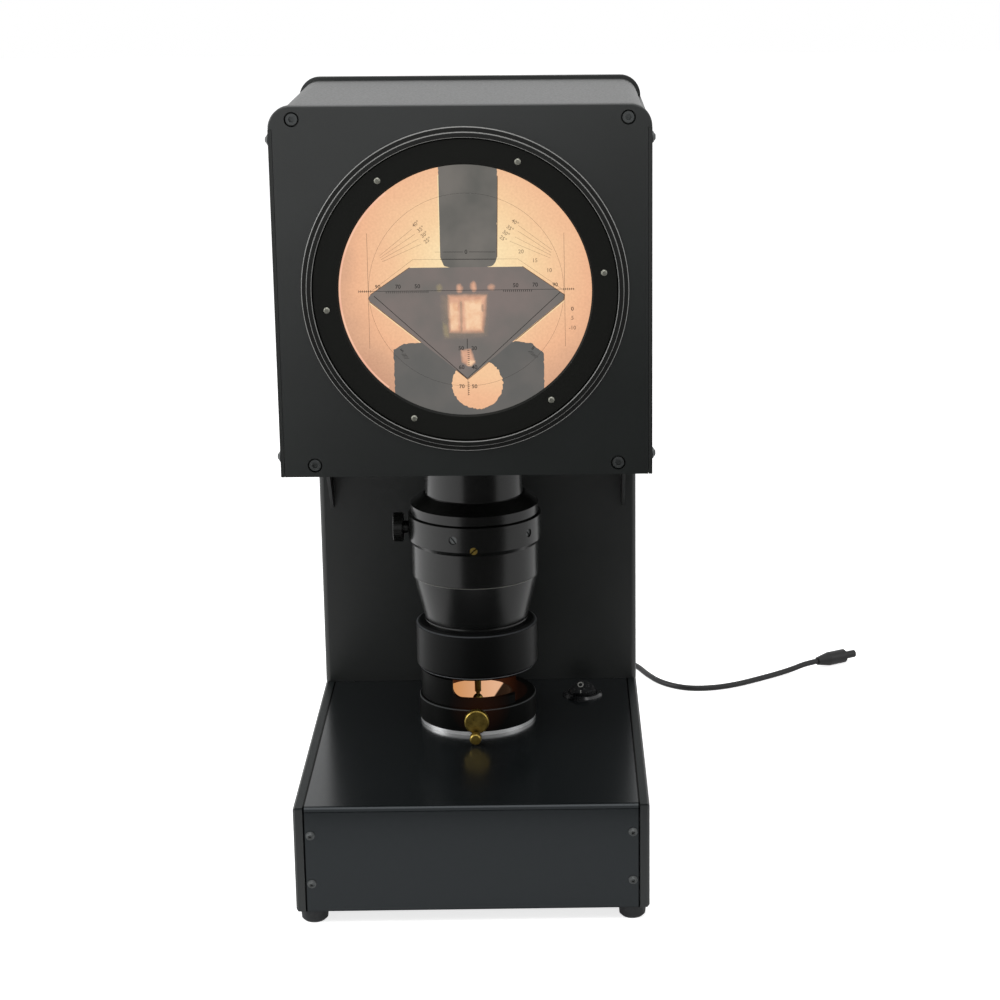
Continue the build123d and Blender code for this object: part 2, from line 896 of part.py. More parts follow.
# Upper tube, clamped in the barrel and hung from the head's bottom plate
tube_low = barrel_top - tube_socket
tube_top = head_low + sheet_wall + tube_flange_wall
save(
    "upper_tube",
    turned(
        [
            (tube_radius - tube_wall, tube_low),
            (tube_radius - tube_wall, tube_top),
            (tube_flange_radius, tube_top),
            (tube_flange_radius, head_low + sheet_wall),
            (tube_radius, head_low + sheet_wall),
            (tube_radius, tube_low),
        ],
        upright(),
    ),
)

# Barrel: collar, body with a step, waist and cone
collar_low = barrel_top - collar_height
body_top = collar_low - seam / 2
body_low = body_top - body_height
waist_low = body_low - waist_height
cone_low = waist_low - cone_height
tube_bore = tube_radius + seam / 4
collar = turned(
    [
        (tube_bore, collar_low),
        (tube_bore, barrel_top),
        (tube_radius + collar_lip, barrel_top),
        (collar_radius, barrel_top - collar_slope),
        (collar_radius, collar_low + groove),
        (collar_radius - groove_depth, collar_low),
    ],
    upright(),
)
save("barrel_collar", collar)
lens_barrel = turned(
    [
        (barrel_bore, cone_low),
        (barrel_bore, tube_low - seam / 2),
        (tube_bore, tube_low - seam / 2),
        (tube_bore, body_top),
        (body_radius - groove_depth, body_top),
        (body_radius, body_top - groove),
        (body_radius, body_low + body_chamfer),
        (waist_radius, body_low),
        (waist_radius, waist_low + waist_chamfer),
        (cone_top_radius, waist_low),
        (cone_low_radius, cone_low),
    ],
    upright(),
)
sleeve_neck = sleeve_radius - sleeve_shoulder
sleeve_top = cone_low + sleeve_socket
lens_barrel -= peg(sleeve_neck + seam / 4, cone_low - 1, sleeve_top, upright())

# Screws and the clamp knob in the barrel's body
set_screw_z = 192.2
brass_screw_z = 186.0
set_screw_sink = 0.9
set_screw_length = 7.0
brass_screw_sink = 0.5
brass_screw_length = 6.0
screw_slot_turn = 40.0
screw_slot_depth = 1.0
screw_slot_share = 0.32
set_screw_angles = (-107.3, -35.0)
brass_screw_angle = -89.5


def barrel_screw(radius, angle, z, sink, length):
    """A slotted screw set in the barrel's wall, and the hole it needs."""
    turn = math.radians(angle)
    wall = body_radius - sink
    slot_width = radius * screw_slot_share
    place = Pos(wall * math.cos(turn), lens_y + wall * math.sin(turn), z) * Rot(0, 0, angle) * Rot(0, 90, 0)
    screw = peg(radius, -length, 0, place)
    slot = place * Rot(0, 0, screw_slot_turn) * Box(2 * radius + 1, slot_width, 2 * screw_slot_depth)
    hole = peg(radius + seam / 2, -length - 0.2, sink + 2, place)
    return screw - slot, hole


black_screws = []
for angle in set_screw_angles:
    screw, hole = barrel_screw(set_screw_radius, angle, set_screw_z, set_screw_sink, set_screw_length)
    black_screws.append(screw)
    lens_barrel -= hole
save("barrel_set_screws", group(black_screws))
brass_screw, hole = barrel_screw(
    brass_screw_radius,
    brass_screw_angle,
    brass_screw_z,
    brass_screw_sink,
    brass_screw_length,
)
lens_barrel -= hole
save("brass_screw", brass_screw)

clamp_place = facing_side(-body_radius, lens_y, clamp_knob_z)
clamp_shank_radius = 2.0
clamp_shank_length = 9.0
clamp_shank_gap = 0.05
lens_barrel -= peg(clamp_shank_radius + clamp_shank_gap, -clamp_shank_length - 1, 2, clamp_place)
save("lens_barrel", lens_barrel)
clamp_knob = turned(
    [
        (0, -clamp_shank_length),
        (clamp_shank_radius, -clamp_shank_length),
        (clamp_shank_radius, running_gap),
        (clamp_knob_neck, running_gap),
        (clamp_knob_neck, clamp_knob_stand),
        (clamp_knob_radius - knob_round, clamp_knob_stand),
        (clamp_knob_radius, clamp_knob_stand + knob_round),
        (clamp_knob_radius, clamp_knob_stand + clamp_knob_wall - knob_round),
        (clamp_knob_radius - knob_round, clamp_knob_stand + clamp_knob_wall),
        (0, clamp_knob_stand + clamp_knob_wall),
    ],
    clamp_place,
)
knurl_count = 36
knurl_depth = 0.35
knurl_width = 0.7
for index in range(knurl_count):
    turn = Rot(0, 0, index * 360 / knurl_count)
    cut_z = clamp_knob_stand + clamp_knob_wall / 2
    groove_box = Box(2 * knurl_depth, knurl_width, clamp_knob_wall + 1)
    clamp_knob -= clamp_place * turn * Pos(clamp_knob_radius, 0, cut_z) * groove_box
save("clamp_knob", clamp_knob)

# Sleeve under the barrel, with the stop that the zoom ring runs against
sleeve_low = zoom_ring_low + sleeve_rise
sleeve_profile = [
    (sleeve_bore, sleeve_low),
    (sleeve_bore, sleeve_top - seam),
    (sleeve_neck, sleeve_top - seam),
    (sleeve_neck, cone_low - seam / 2),
    (stop_radius, cone_low - seam / 2),
    (stop_radius, cone_low - seam / 2 - stop_wall),
    (sleeve_radius, cone_low - seam / 2 - stop_wall),
    (sleeve_radius, sleeve_low),
]
lens_sleeve = turned(sleeve_profile, upright())

# Zoom ring that turns on the sleeve, under its stop
zoom_ring_bore = sleeve_radius + running_gap
zoom_ring_top = zoom_ring_low + zoom_ring_height
zoom_profile = [
    (zoom_ring_bore, zoom_ring_low),
    (zoom_ring_bore, zoom_ring_top),
    (zoom_ring_radius - zoom_ring_bead, zoom_ring_top),
    (zoom_ring_radius, zoom_ring_top - zoom_ring_bead_drop),
    (zoom_ring_radius, zoom_ring_low + zoom_ring_chamfer),
    (zoom_ring_radius - zoom_ring_undercut, zoom_ring_low),
]
save("zoom_ring", turned(zoom_profile, upright()))

# Lens carriage that slides in the sleeve, and the two lenses
carriage_radius = sleeve_bore - running_gap
carriage_top = carriage_low + carriage_height
lens_seat = carriage_low + lens_ledge_height
save(
    "lens_carriage",
    turned(
        [
            (lens_radius - lens_ledge, carriage_low),
            (lens_radius - lens_ledge, lens_seat),
            (lens_radius + seam, lens_seat),
            (lens_radius + seam, carriage_top),
            (carriage_radius, carriage_top),
            (carriage_radius, carriage_low),
        ],
        upright(),
    ),
)
save("lens_sleeve", lens_sleeve)


def convex_lens(radius, rim, bulge, place):
    """A lens with two equal convex faces."""
    bow = (radius ** 2 + bulge ** 2) / (2 * bulge)
    half = Cylinder(radius, rim + 2 * bulge)
    cap_low = Pos(0, 0, bow - rim / 2 - bulge) * Sphere(bow)
    cap_high = Pos(0, 0, -bow + rim / 2 + bulge) * Sphere(bow)
    return place * (half & cap_low & cap_high)


zoom_lens_z = lens_seat + lens_rim / 2 + lens_bulge
save("zoom_lens", convex_lens(lens_radius, lens_rim, lens_bulge, upright(z=zoom_lens_z)))
objective_radius = barrel_bore - seam / 2
objective_z = cone_low + sleeve_socket + objective_rise
save("objective_lens", convex_lens(objective_radius, lens_rim, lens_bulge, upright(z=objective_z)))

# Stage: polished trim ring, flange, and the chamber with its milled window
trim_top = base_top + stage_trim_height
flange_top = trim_top + stage_flange_height
chamber_top = flange_top + chamber_height
stage_trim_ring = turned(
    [
        (stage_light_bore, base_top),
        (stage_light_bore, trim_top),
        (stage_trim_radius, trim_top),
        (stage_trim_radius, base_top),
    ],
    upright(),
)
save("stage_trim_ring", stage_trim_ring)
stage_flange = turned(
    [
        (stage_light_bore, trim_top),
        (stage_light_bore, flange_top),
        (stage_radius - stage_edge_round, flange_top),
        (stage_radius, flange_top - stage_edge_round),
        (stage_radius, trim_top),
    ],
    upright(),
)
rod_place = facing_front(holder_x, lens_y - stage_radius, holder_rod_z)
rod_gap = 0.05
stage_flange -= peg(holder_rod_radius + rod_gap, stage_light_bore - stage_radius - 1, 1, rod_place)
lock_place = facing_front(lock_x, lens_y - stage_radius, lock_knob_z)
stage_flange -= peg(lock_knob_rod + rod_gap, -lock_knob_length - 1, 1, lock_place)
save("stage_flange", stage_flange)

chamber_bore = chamber_radius - chamber_wall
stage_chamber = turned(
    [
        (chamber_bore, flange_top),
        (chamber_bore, chamber_top),
        (chamber_radius, chamber_top),
        (chamber_radius, flange_top + chamber_foot),
        (chamber_radius - chamber_foot, flange_top),
    ],
    upright(),
)
far = 2 * stage_radius
stage_chamber -= block(chamber_cut_x, far, lens_y - far, lens_y + far, flange_top - 1, chamber_top + 1)
window_low = flange_top + window_sill
window = block(-window_left, far, lens_y - far, lens_y - chamber_bore / 2, window_low, chamber_top + 20)
window_edges = window.edges().filter_by(Axis.Y).sort_by(Axis.X)[:2].sort_by(Axis.Z)[:1]
window = fillet(window_edges, window_round)
stage_chamber -= window
save("stage_chamber", stage_chamber)

# Liner of the light bore, seen lit through the window
liner_outer = stage_light_bore - seam
liner_low = base_top
liner_high = flange_top - seam
stage_liner = turned(
    [
        (liner_outer - liner_wall, liner_low),
        (liner_outer - liner_wall, liner_high),
        (liner_outer, liner_high),
        (liner_outer, liner_low),
    ],
    upright(),
)
stage_liner -= block(-far, far, lens_y - far, lens_y - liner_front_cut, liner_low - 1, liner_high + 1)
save("stage_liner", stage_liner)

# Stone holder: a fixed post at the rear, and a rod with a brass knob at the front that carries a
# thin post with a cup for the stone
post_low = flange_top
post_half = stone_post_width / 2
post_front = lens_y + stone_post_y
post_high = chamber_top - stone_post_drop
post_left = holder_x - post_half
post_right = holder_x + post_half
stone_post = block(post_left, post_right, post_front, post_front + stone_post_depth, post_low, post_high)
save("stone_post", stone_post)
holder_profile = [
    (0, -holder_inner_length),
    (holder_rod_radius, -holder_inner_length),
    (holder_rod_radius, holder_knob_stand),
    (holder_knob_radius - knob_round, holder_knob_stand),
    (holder_knob_radius, holder_knob_stand + knob_round),
    (holder_knob_radius, holder_knob_stand + holder_knob_wall - knob_round),
    (holder_knob_radius - knob_round, holder_knob_stand + holder_knob_wall),
    (0, holder_knob_stand + holder_knob_wall),
]
holder = turned(holder_profile, rod_place)
stage_front = lens_y - stage_radius
arm_place = Pos(holder_x, stage_front + holder_arm_setback, 0)
holder += peg(holder_post_radius, holder_rod_z, holder_cup_low, arm_place)
holder += peg(holder_cup_radius, holder_cup_low, holder_cup_top, arm_place)
dome_z = holder_rod_z + holder_dome_rise
holder += Pos(holder_x, stage_front + holder_dome_setback, dome_z) * Sphere(holder_dome_radius)
save("stone_holder", holder)
lock_profile = [
    (0, -lock_knob_length),
    (lock_knob_rod, -lock_knob_length),
    (lock_knob_rod, lock_knob_stand),
    (lock_knob_radius - knob_round, lock_knob_stand),
    (lock_knob_radius, lock_knob_stand + knob_round),
    (lock_knob_radius, lock_knob_stand + lock_knob_wall - knob_round),
    (lock_knob_radius - knob_round, lock_knob_stand + lock_knob_wall),
    (0, lock_knob_stand + lock_knob_wall),
]
save("lock_knob", turned(lock_profile, lock_place))

# Lamp: condenser tube and lens, lamp board and heat sink
condenser_low = lamp_board_z + lamp_board_wall
condenser_high = base_top - sheet_wall
condenser_bore = condenser_tube_radius - condenser_tube_wall
condenser_z = condenser_high - condenser_drop
save(
    "condenser_holder",
    turned(
        [
            (condenser_bore, condenser_low),
            (condenser_bore, condenser_high),
            (condenser_tube_radius, condenser_high),
            (condenser_tube_radius, condenser_low),
        ],
        upright(),
    ),
)
condenser_edge = condenser_bore - condenser_gap
condenser_place = upright(z=condenser_z)
save("condenser_lens", convex_lens(condenser_edge, condenser_rim, condenser_bulge, condenser_place))
lamp_board = peg(condenser_tube_radius, lamp_board_z, condenser_low, upright())
lamp_dome = peg(lamp_dome_radius, condenser_low, condenser_low + lamp_dome_height, upright())
save("lamp_board", lamp_board + lamp_dome)
half_sink = heat_sink_side / 2
sink_base_low = lamp_board_z - heat_sink_base
sink_front = lens_y - half_sink
sink_rear = lens_y + half_sink
heat_sink = block(-half_sink, half_sink, sink_front, sink_rear, sink_base_low, lamp_board_z)
fin_pitch = (heat_sink_side - heat_sink_fin_wall) / (heat_sink_fins - 1)
for index in range(heat_sink_fins):
    fin_x = -half_sink + index * fin_pitch
    heat_sink += block(
        fin_x,
        fin_x + heat_sink_fin_wall,
        sink_front,
        sink_rear,
        sink_base_low - heat_sink_fin_height,
        sink_base_low,
    )
pad_low = bottom_top
post_reach = half_sink - heat_sink_post_inset
for x in (-post_reach, post_reach):
    for y in (lens_y - post_reach, lens_y + post_reach):
        heat_sink += peg(heat_sink_post, pad_low, sink_base_low, Pos(x, y, 0))
save("heat_sink", heat_sink)

# Power board on stand-offs behind the lamp
board_low = bottom_top + power_board_stand
board_x = -40.0
board_y = rear_y - power_board_setback
board_half_x = power_board_length / 2
board_half_y = power_board_width / 2
power_board = block(
    board_x - board_half_x,
    board_x + board_half_x,
    board_y - board_half_y,
    board_y + board_half_y,
    board_low,
    board_low + power_board_wall,
)
post_x = board_half_x - power_board_inset
post_y = board_half_y - power_board_inset
for x in (board_x - post_x, board_x + post_x):
    for y in (board_y - post_y, board_y + post_y):
        power_board += peg(power_board_post, bottom_top, board_low, Pos(x, y, 0))
board_top = board_low + power_board_wall
transformer_left = board_x - board_half_x + transformer_inset
power_board += block(
    transformer_left,
    transformer_left + transformer_length,
    board_y - transformer_width / 2,
    board_y + transformer_width / 2,
    board_top,
    board_top + transformer_height,
)
capacitor_x = board_x + board_half_x - capacitor_inset
for y in (board_y - capacitor_spacing / 2, board_y + capacitor_spacing / 2):
    power_board += peg(capacitor_radius, board_top, board_top + capacitor_height, Pos(capacitor_x, y, 0))
save("power_board", power_board)

# Round rocker switch
switch_top = switch_flange_wall
switch_floor = switch_base_wall - switch_body_depth
switch_housing = turned(
    [
        (0, -switch_body_depth),
        (0, switch_floor),
        (switch_bore, switch_floor),
        (switch_bore, switch_top),
        (switch_flange_radius - switch_flange_slope, switch_top),
        (switch_flange_radius, switch_flange_edge),
        (switch_flange_radius, 0),
        (switch_body_radius, 0),
        (switch_body_radius, -switch_body_depth),
    ],
    switch_place,
)
rocker_pivot = Pos(switch_x, switch_y, base_top - rocker_pivot_drop)
pin_half = switch_body_radius - seam
pin_bore = rocker_pin_radius + rocker_pin_gap
switch_housing -= rocker_pivot * Rot(0, 90, 0) * Cylinder(pin_bore, 2 * switch_body_radius + 1)
save("switch_housing", switch_housing)
rocker_tip = switch_top + rocker_rise
rocker_dip = switch_top - rocker_hollow
rocker_half = rocker_length / 2
rocker_side = Polyline(
    (-rocker_half, rocker_tip),
    (0, rocker_dip),
    (rocker_half, rocker_tip),
    (rocker_half, -rocker_depth / 2),
    (rocker_half / 4, -rocker_depth),
    (-rocker_half / 4, -rocker_depth),
    (-rocker_half, -rocker_depth / 2),
    close=True,
)
rocker_wedge = extrude(Plane.YZ * make_face(rocker_side), amount=rocker_width, both=True)
rocker_oval = Ellipse(rocker_width / 2, rocker_half)
rocker_blank = Pos(0, 0, -rocker_depth) * extrude(rocker_oval, amount=rocker_tip + rocker_depth)
rocker_pins = rocker_pivot * Rot(0, 90, 0) * Cylinder(rocker_pin_radius, 2 * pin_half)
rocker_place = rocker_pivot * Rot(rocker_tilt, 0, 0) * Pos(0, 0, rocker_pivot_drop)
save("switch_rocker", rocker_place * (rocker_blank & rocker_wedge) + rocker_pins)

# Gland, lead, coil and plug
gland_place = facing_rear(gland_x, rear_y, gland_z)
gland_neck = gland_hole - gland_gap
save(
    "cable_gland",
    turned(
        [
            (0, -gland_neck_length),
            (gland_neck, -gland_neck_length),
            (gland_neck, 0),
            (gland_root_radius, 0),
            (gland_root_radius, gland_collar),
            (gland_tip_radius, gland_length),
            (0, gland_length),
        ],
        gland_place,
    ),
)
exit_y = rear_y + gland_length
lay = cord_radius + lay_gap
plug_z = plug_radius
first_route = [
    (gland_x, exit_y, gland_z),
    (gland_x, 163.0, gland_z),
    (-29.6, 175.5, 20.9),
    (-28.4, 187.5, 14.8),
    (-25.4, 199.0, 8.4),
    (-18.6, 208.2, 4.0),
    (-8.0, 213.0, lay),
    (4.6, 213.2, lay),
]
second_route = [
    (coil_x + coil_middle_radius, 248.5, lay),
    (49.6, 264.0, lay),
    (50.2, 283.0, lay),
    (55.6, 301.0, lay),
    (67.4, 314.4, lay),
    (83.5, 319.6, lay),
    (99.0, 314.6, lay),
    (108.6, 300.0, lay),
    (114.2, 282.5, lay),
    (124.0, 263.0, lay),
    (140.5, 250.6, lay),
    (158.5, 250.2, lay),
    (177.0, 257.2, lay),
    (195.5, 270.0, lay),
    (209.5, 280.4, lay),
    (221.0, 287.8, 3.0),
    (231.5, 294.0, plug_z),
    (240.5, 299.2, plug_z),
]


def turn_radii(route):
    """The largest arc that the two runs at each corner of a route allow."""
    radii = []
    for before, corner, after in zip(route, route[1:], route[2:]):
        first = Vector(*corner) - Vector(*before)
        second = Vector(*after) - Vector(*corner)
        turn = math.radians(first.get_angle(second))
        radii.append(0.45 * min(first.length, second.length) / math.tan(turn / 2))
    return radii


def cord_run(route):
    """A round cord along straight runs joined by tangent arcs."""
    radii = turn_radii(route)
    path = FilletPolyline(*route, radius=radii)
    start = Plane(origin=path @ 0, z_dir=path % 0)
    run = sweep(start * Circle(cord_radius), path=path)
    expected = math.pi * cord_radius ** 2 * path.length
    print("cord run", round(path.length, 1), "mm, radii", [round(radius, 1) for radius in radii])
    print("volume over section times length", round(run.volume / expected, 4))
    return run, path.length


first_run, first_length = cord_run(first_route)
second_run, second_length = cord_run(second_route)
save("cord_tube", group([first_run, second_run]))
coil_band = coil_turns_across * cord_radius
coil_height = 2 * cord_radius * coil_layers
coil_inner = coil_middle_radius - coil_band
coil_outer = coil_middle_radius + coil_band
coil_round = 1.8
cord_coil = turned(
    [
        (coil_inner, coil_round),
        (coil_inner, coil_height - coil_round),
        (coil_inner + coil_round, coil_height),
        (coil_outer - coil_round, coil_height),
        (coil_outer, coil_height - coil_round),
        (coil_outer, coil_round),
        (coil_outer - coil_round, 0),
        (coil_inner + coil_round, 0),
    ],
    Pos(coil_x, coil_y, 0),
)
save("cord_coil", cord_coil)
coil_turn_length = 2 * math.pi * coil_middle_radius
coil_length = coil_turns_across * coil_layers * coil_turn_length
print("lead length", round(first_length + second_length + coil_length), "mm")

plug_start = Vector(*second_route[-1])
plug_way = plug_start - Vector(*second_route[-2])
plug_axis = Plane(origin=plug_start, z_dir=plug_way)
plug_profile = [
    (0, 0),
    (cord_radius + plug_sleeve, 0),
    (plug_radius, plug_taper),
    (plug_radius, plug_length),
    (plug_tip_radius, plug_length),
    (plug_tip_radius, plug_length + plug_tip_length),
    (0, plug_length + plug_tip_length),
]
save("plug", turned(plug_profile, plug_axis.location))
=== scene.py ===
# %% [markdown]
# # A diamond proportion scope in Blender
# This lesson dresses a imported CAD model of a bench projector. A lamp in the base lights a cut stone,
# a zoom lens throws the stone's outline upwards, and a mirror in the head turns it onto a round screen.
# The solids come in ready placed. The work here is the camera, the lead, the finishes, the picture and
# the scale on the screen, the small marks and the light, in that order.

import math

import bmesh
import bpy
from mathutils import Matrix, Vector, noise


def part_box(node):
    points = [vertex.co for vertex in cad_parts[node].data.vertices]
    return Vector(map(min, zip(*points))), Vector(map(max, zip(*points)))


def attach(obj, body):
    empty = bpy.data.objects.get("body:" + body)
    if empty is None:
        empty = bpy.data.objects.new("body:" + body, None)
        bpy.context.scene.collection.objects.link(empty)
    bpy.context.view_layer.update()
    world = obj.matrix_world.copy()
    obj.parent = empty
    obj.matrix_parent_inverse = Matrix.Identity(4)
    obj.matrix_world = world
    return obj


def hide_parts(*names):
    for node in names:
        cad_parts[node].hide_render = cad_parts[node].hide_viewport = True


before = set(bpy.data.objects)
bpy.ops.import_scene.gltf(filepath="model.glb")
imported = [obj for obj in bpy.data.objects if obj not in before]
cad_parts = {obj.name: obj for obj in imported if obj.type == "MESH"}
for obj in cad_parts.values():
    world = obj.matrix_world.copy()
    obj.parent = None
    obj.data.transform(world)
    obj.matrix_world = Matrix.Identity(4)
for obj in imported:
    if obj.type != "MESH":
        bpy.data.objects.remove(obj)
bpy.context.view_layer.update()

# %% [markdown]
# ## Units
# Everything in the file is in metres, but a maker thinks of this object in millimetres. One named
# factor keeps the sizes readable, and one function places a point that is given in millimetres.

# %% Millimetres
MM = 0.001


def at(x, y, z):
    """A point given in millimetres."""
    return Vector((x * MM, y * MM, z * MM))


# %% [markdown]
# ## The camera
# The photograph was taken from about 1.3 m in front, a little above the head, looking down 15 degrees.
# A camera could be placed by eye, but lines that run back into the picture only fall right when the
# distance is right, so the place, the aim and the lens were worked out from corners of known size.
# The camera stands a little to the right, so the picture is shifted instead of turned.

# %% Camera
picture_width = 1000
focal_pixels = 2429.8
axis_pixel_x = 597.8
axis_pixel_y = 498.5
camera_place = at(47.3, -1396.8, 579.5)
camera_yaw = 0.01893
camera_pitch = 0.25872
camera_roll = -0.00555


def aimed(yaw, pitch, roll):
    """The turn of a camera that looks along +Y, turned right by yaw, down by pitch, then rolled."""
    ahead = Vector((math.sin(yaw), math.cos(yaw), 0))
    right = Vector((math.cos(yaw), -math.sin(yaw), 0))
    view = ahead * math.cos(pitch) - Vector((0, 0, 1)) * math.sin(pitch)
    up = Vector((0, 0, 1)) * math.cos(pitch) + ahead * math.sin(pitch)
    rolled_right = right * math.cos(roll) + up * math.sin(roll)
    rolled_up = up * math.cos(roll) - right * math.sin(roll)
    return Matrix((rolled_right, rolled_up, -view)).transposed()


camera_data = bpy.data.cameras.new("camera")
camera_data.sensor_width = 36.0
camera_data.lens = focal_pixels / picture_width * camera_data.sensor_width
camera_data.shift_x = (picture_width / 2 - axis_pixel_x) / picture_width
camera_data.shift_y = (axis_pixel_y - picture_width / 2) / picture_width
camera_data.clip_start = 0.05
camera = bpy.data.objects.new("camera", camera_data)
camera.matrix_world = Matrix.Translation(camera_place) @ aimed(camera_yaw, camera_pitch, camera_roll).to_4x4()
bpy.context.scene.collection.objects.link(camera)
bpy.context.scene.camera = camera
print("lens in mm:", round(camera_data.lens, 1))

# %% [markdown]
# ## The lead
# A low-voltage lead is a round jacket of soft PVC, 4 mm thick and 1.5 m long. It could be a swept mesh,
# but a curve with a round bevel keeps its thickness whatever the route does, and stays easy to edit.
# The route has few points, listed one by one: out of the gland, down to the table, then round behind the
# column. What the photograph doesn't show is wound into a neat coil, so its points come from a loop.
# The coil is wound as a hand winds it: out, in, up, out again, two turns across and four high, and the
# loose end comes down from the top. The thickness sits in each point's radius and the bevel is left at
# 1, because Blender adds the radius of the points to the box it reports for a curve.

# %% Lead: route
lead_radius = 2.0
lead_rest = lead_radius + 0.05
coil_top = lead_rest + 6 * lead_radius
plug_height = 5.0
gland_point = (-30.0, 151.0, 24.0)
route_in = [
    gland_point,
    (-30.0, 163.0, 24.0),
    (-29.6, 175.5, 20.9),
    (-28.4, 187.5, 14.8),
    (-25.4, 199.0, 8.4),
    (-18.6, 207.4, 4.0),
    (-8.0, 210.6, lead_rest),
]
route_out = [
    (51.6, 240.6, coil_top),
    (50.6, 249.4, coil_top - 1.2),
    (49.9, 258.2, coil_top - 5.0),
    (49.7, 267.2, coil_top - 9.2),
    (49.9, 276.0, lead_rest + 0.4),
    (50.8, 285.6, lead_rest),
    (55.6, 301.0, lead_rest),
    (67.4, 314.4, lead_rest),
    (83.5, 318.2, lead_rest),
    (99.0, 314.6, lead_rest),
    (108.6, 300.0, lead_rest),
    (114.2, 282.5, lead_rest),
    (124.0, 263.0, lead_rest),
    (140.5, 250.6, lead_rest),
    (158.5, 250.2, lead_rest),
    (177.0, 257.2, lead_rest),
    (195.5, 270.0, lead_rest),
    (209.5, 280.4, lead_rest),
    (221.0, 287.8, 3.0),
    (231.5, 294.0, plug_height),
    (240.5, 299.2, plug_height),
]

# %% Lead: coil
coil_centre = (26.0, 232.0)
coil_middle_radius = 24.0
points_per_turn = 16
entry_angle = -100.0
exit_turned = 2620.0
first_change = 300.0
turn_between_changes = 342.0
change_sector = 60.0
tracks = [(1, 0), (-1, 0), (-1, 1), (1, 1), (1, 2), (-1, 2), (-1, 3), (1, 3)]


def smooth_step(value):
    """Goes from 0 to 1 with soft ends."""
    value = min(max(value, 0.0), 1.0)
    return value * value * (3 - 2 * value)


def coil_track(turned):
    """How far out, from -1 to 1, and on which layer the lead is after turning by some degrees."""
    if turned < first_change:
        return tracks[0]
    done = min(int((turned - first_change) / turn_between_changes), len(tracks) - 2)
    way = smooth_step((turned - first_change - done * turn_between_changes) / change_sector)
    before, after = tracks[done], tracks[done + 1]
    return [start + (end - start) * way for start, end in zip(before, after)]


def coil_point(turned):
    """A point of the lead's spline. It stands outside the turn, because the line cuts its corners."""
    out, layer = coil_track(turned)
    radius = (coil_middle_radius + out * lead_radius) / math.cos(math.pi / points_per_turn)
    angle = math.radians(entry_angle + turned)
    x = coil_centre[0] + radius * math.cos(angle)
    y = coil_centre[1] + radius * math.sin(angle)
    return (x, y, lead_rest + 2 * lead_radius * layer)


coil_count = round(exit_turned / 360 * points_per_turn)
coil_points = [coil_point(exit_turned * index / coil_count) for index in range(coil_count + 1)]
lead_points = route_in + coil_points + route_out
print("lead points:", len(lead_points))

# %% Lead: curve
lead_curve = bpy.data.curves.new("lead", "CURVE")
lead_curve.dimensions = "3D"
lead_curve.bevel_depth = 1.0
lead_curve.bevel_resolution = 5
lead_curve.resolution_u = 6
lead_curve.use_fill_caps = True
spline = lead_curve.splines.new("NURBS")
spline.points.add(len(lead_points) - 1)
for point, place in zip(spline.points, lead_points):
    point.co = (*at(*place), 1.0)
    point.radius = lead_radius * MM
spline.order_u = 3
spline.use_endpoint_u = True
lead = bpy.data.objects.new("lead", lead_curve)
bpy.context.scene.collection.objects.link(lead)
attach(lead, "stand")
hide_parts("cord_tube", "cord_coil")

# %% [markdown]
# ## Helpers for finishes
# Colours are read off the photograph as sRGB hex values, but shaders count in linear light, so one
# function converts them. A second function adds a node, sets its properties, and gives each input
# either a value or a link. With those two, every finish below is a short list of what it is made of.
# Patterns read Object coordinates, which stay with the piece when it moves.

# %% Colour and node helpers
def linear(hex_text):
    """An sRGB hex colour as linear red, green, blue and a full alpha."""
    channels = [int(hex_text[place:place + 2], 16) / 255 for place in (1, 3, 5)]
    light = [c / 12.92 if c <= 0.04045 else ((c + 0.055) / 1.055) ** 2.4 for c in channels]
    return (*light, 1.0)


def add_node(tree, kind, inputs=None, **settings):
    """Adds a node with its settings, and fills its inputs with values or links."""
    node = tree.nodes.new(kind)
    for name, value in settings.items():
        setattr(node, name, value)
    for name, value in (inputs or {}).items():
        if isinstance(value, bpy.types.NodeSocket):
            tree.links.new(value, node.inputs[name])
        else:
            node.inputs[name].default_value = value
    return node


def shader_of(material):
    """The surface shader of a material."""
    return material.node_tree.nodes["Principled BSDF"]


def new_finish(name, colour, **values):
    """A material with the plain values of its finish set on the shader's own sockets."""
    material = bpy.data.materials.new(name)
    material.use_nodes = True
    shader = shader_of(material)
    shader.inputs["Base Color"].default_value = linear(colour)
    for socket, value in values.items():
        shader.inputs[socket.replace("_", " ")].default_value = value
    return material


def per_metre(size_mm):
    """The scale of a pattern whose features are this many millimetres across."""
    return 1 / (size_mm * MM)


# %% Grain and wear
def add_grain(material, size_mm, depth_mm, roughness_low, roughness_high, stretch=(1, 1, 1)):
    """A fine uneven surface: noise in the roughness and in the bump."""
    tree = material.node_tree
    place = add_node(tree, "ShaderNodeTexCoord")
    stretched = add_node(tree, "ShaderNodeMapping", {"Vector": place.outputs["Object"], "Scale": stretch})
    grain = add_node(
        tree,
        "ShaderNodeTexNoise",
        {"Vector": stretched.outputs["Vector"], "Scale": per_metre(size_mm), "Detail": 3.0, "Roughness": 0.6},
    )
    spread = add_node(
        tree,
        "ShaderNodeMapRange",
        {"Value": grain.outputs["Fac"], "From Min": 0.3, "From Max": 0.7,
         "To Min": roughness_low, "To Max": roughness_high},
    )
    bump = add_node(
        tree,
        "ShaderNodeBump",
        {"Height": grain.outputs["Fac"], "Strength": 0.5, "Distance": depth_mm * MM},
    )
    tree.links.new(spread.outputs["Result"], shader_of(material).inputs["Roughness"])
    tree.links.new(bump.outputs["Normal"], shader_of(material).inputs["Normal"])


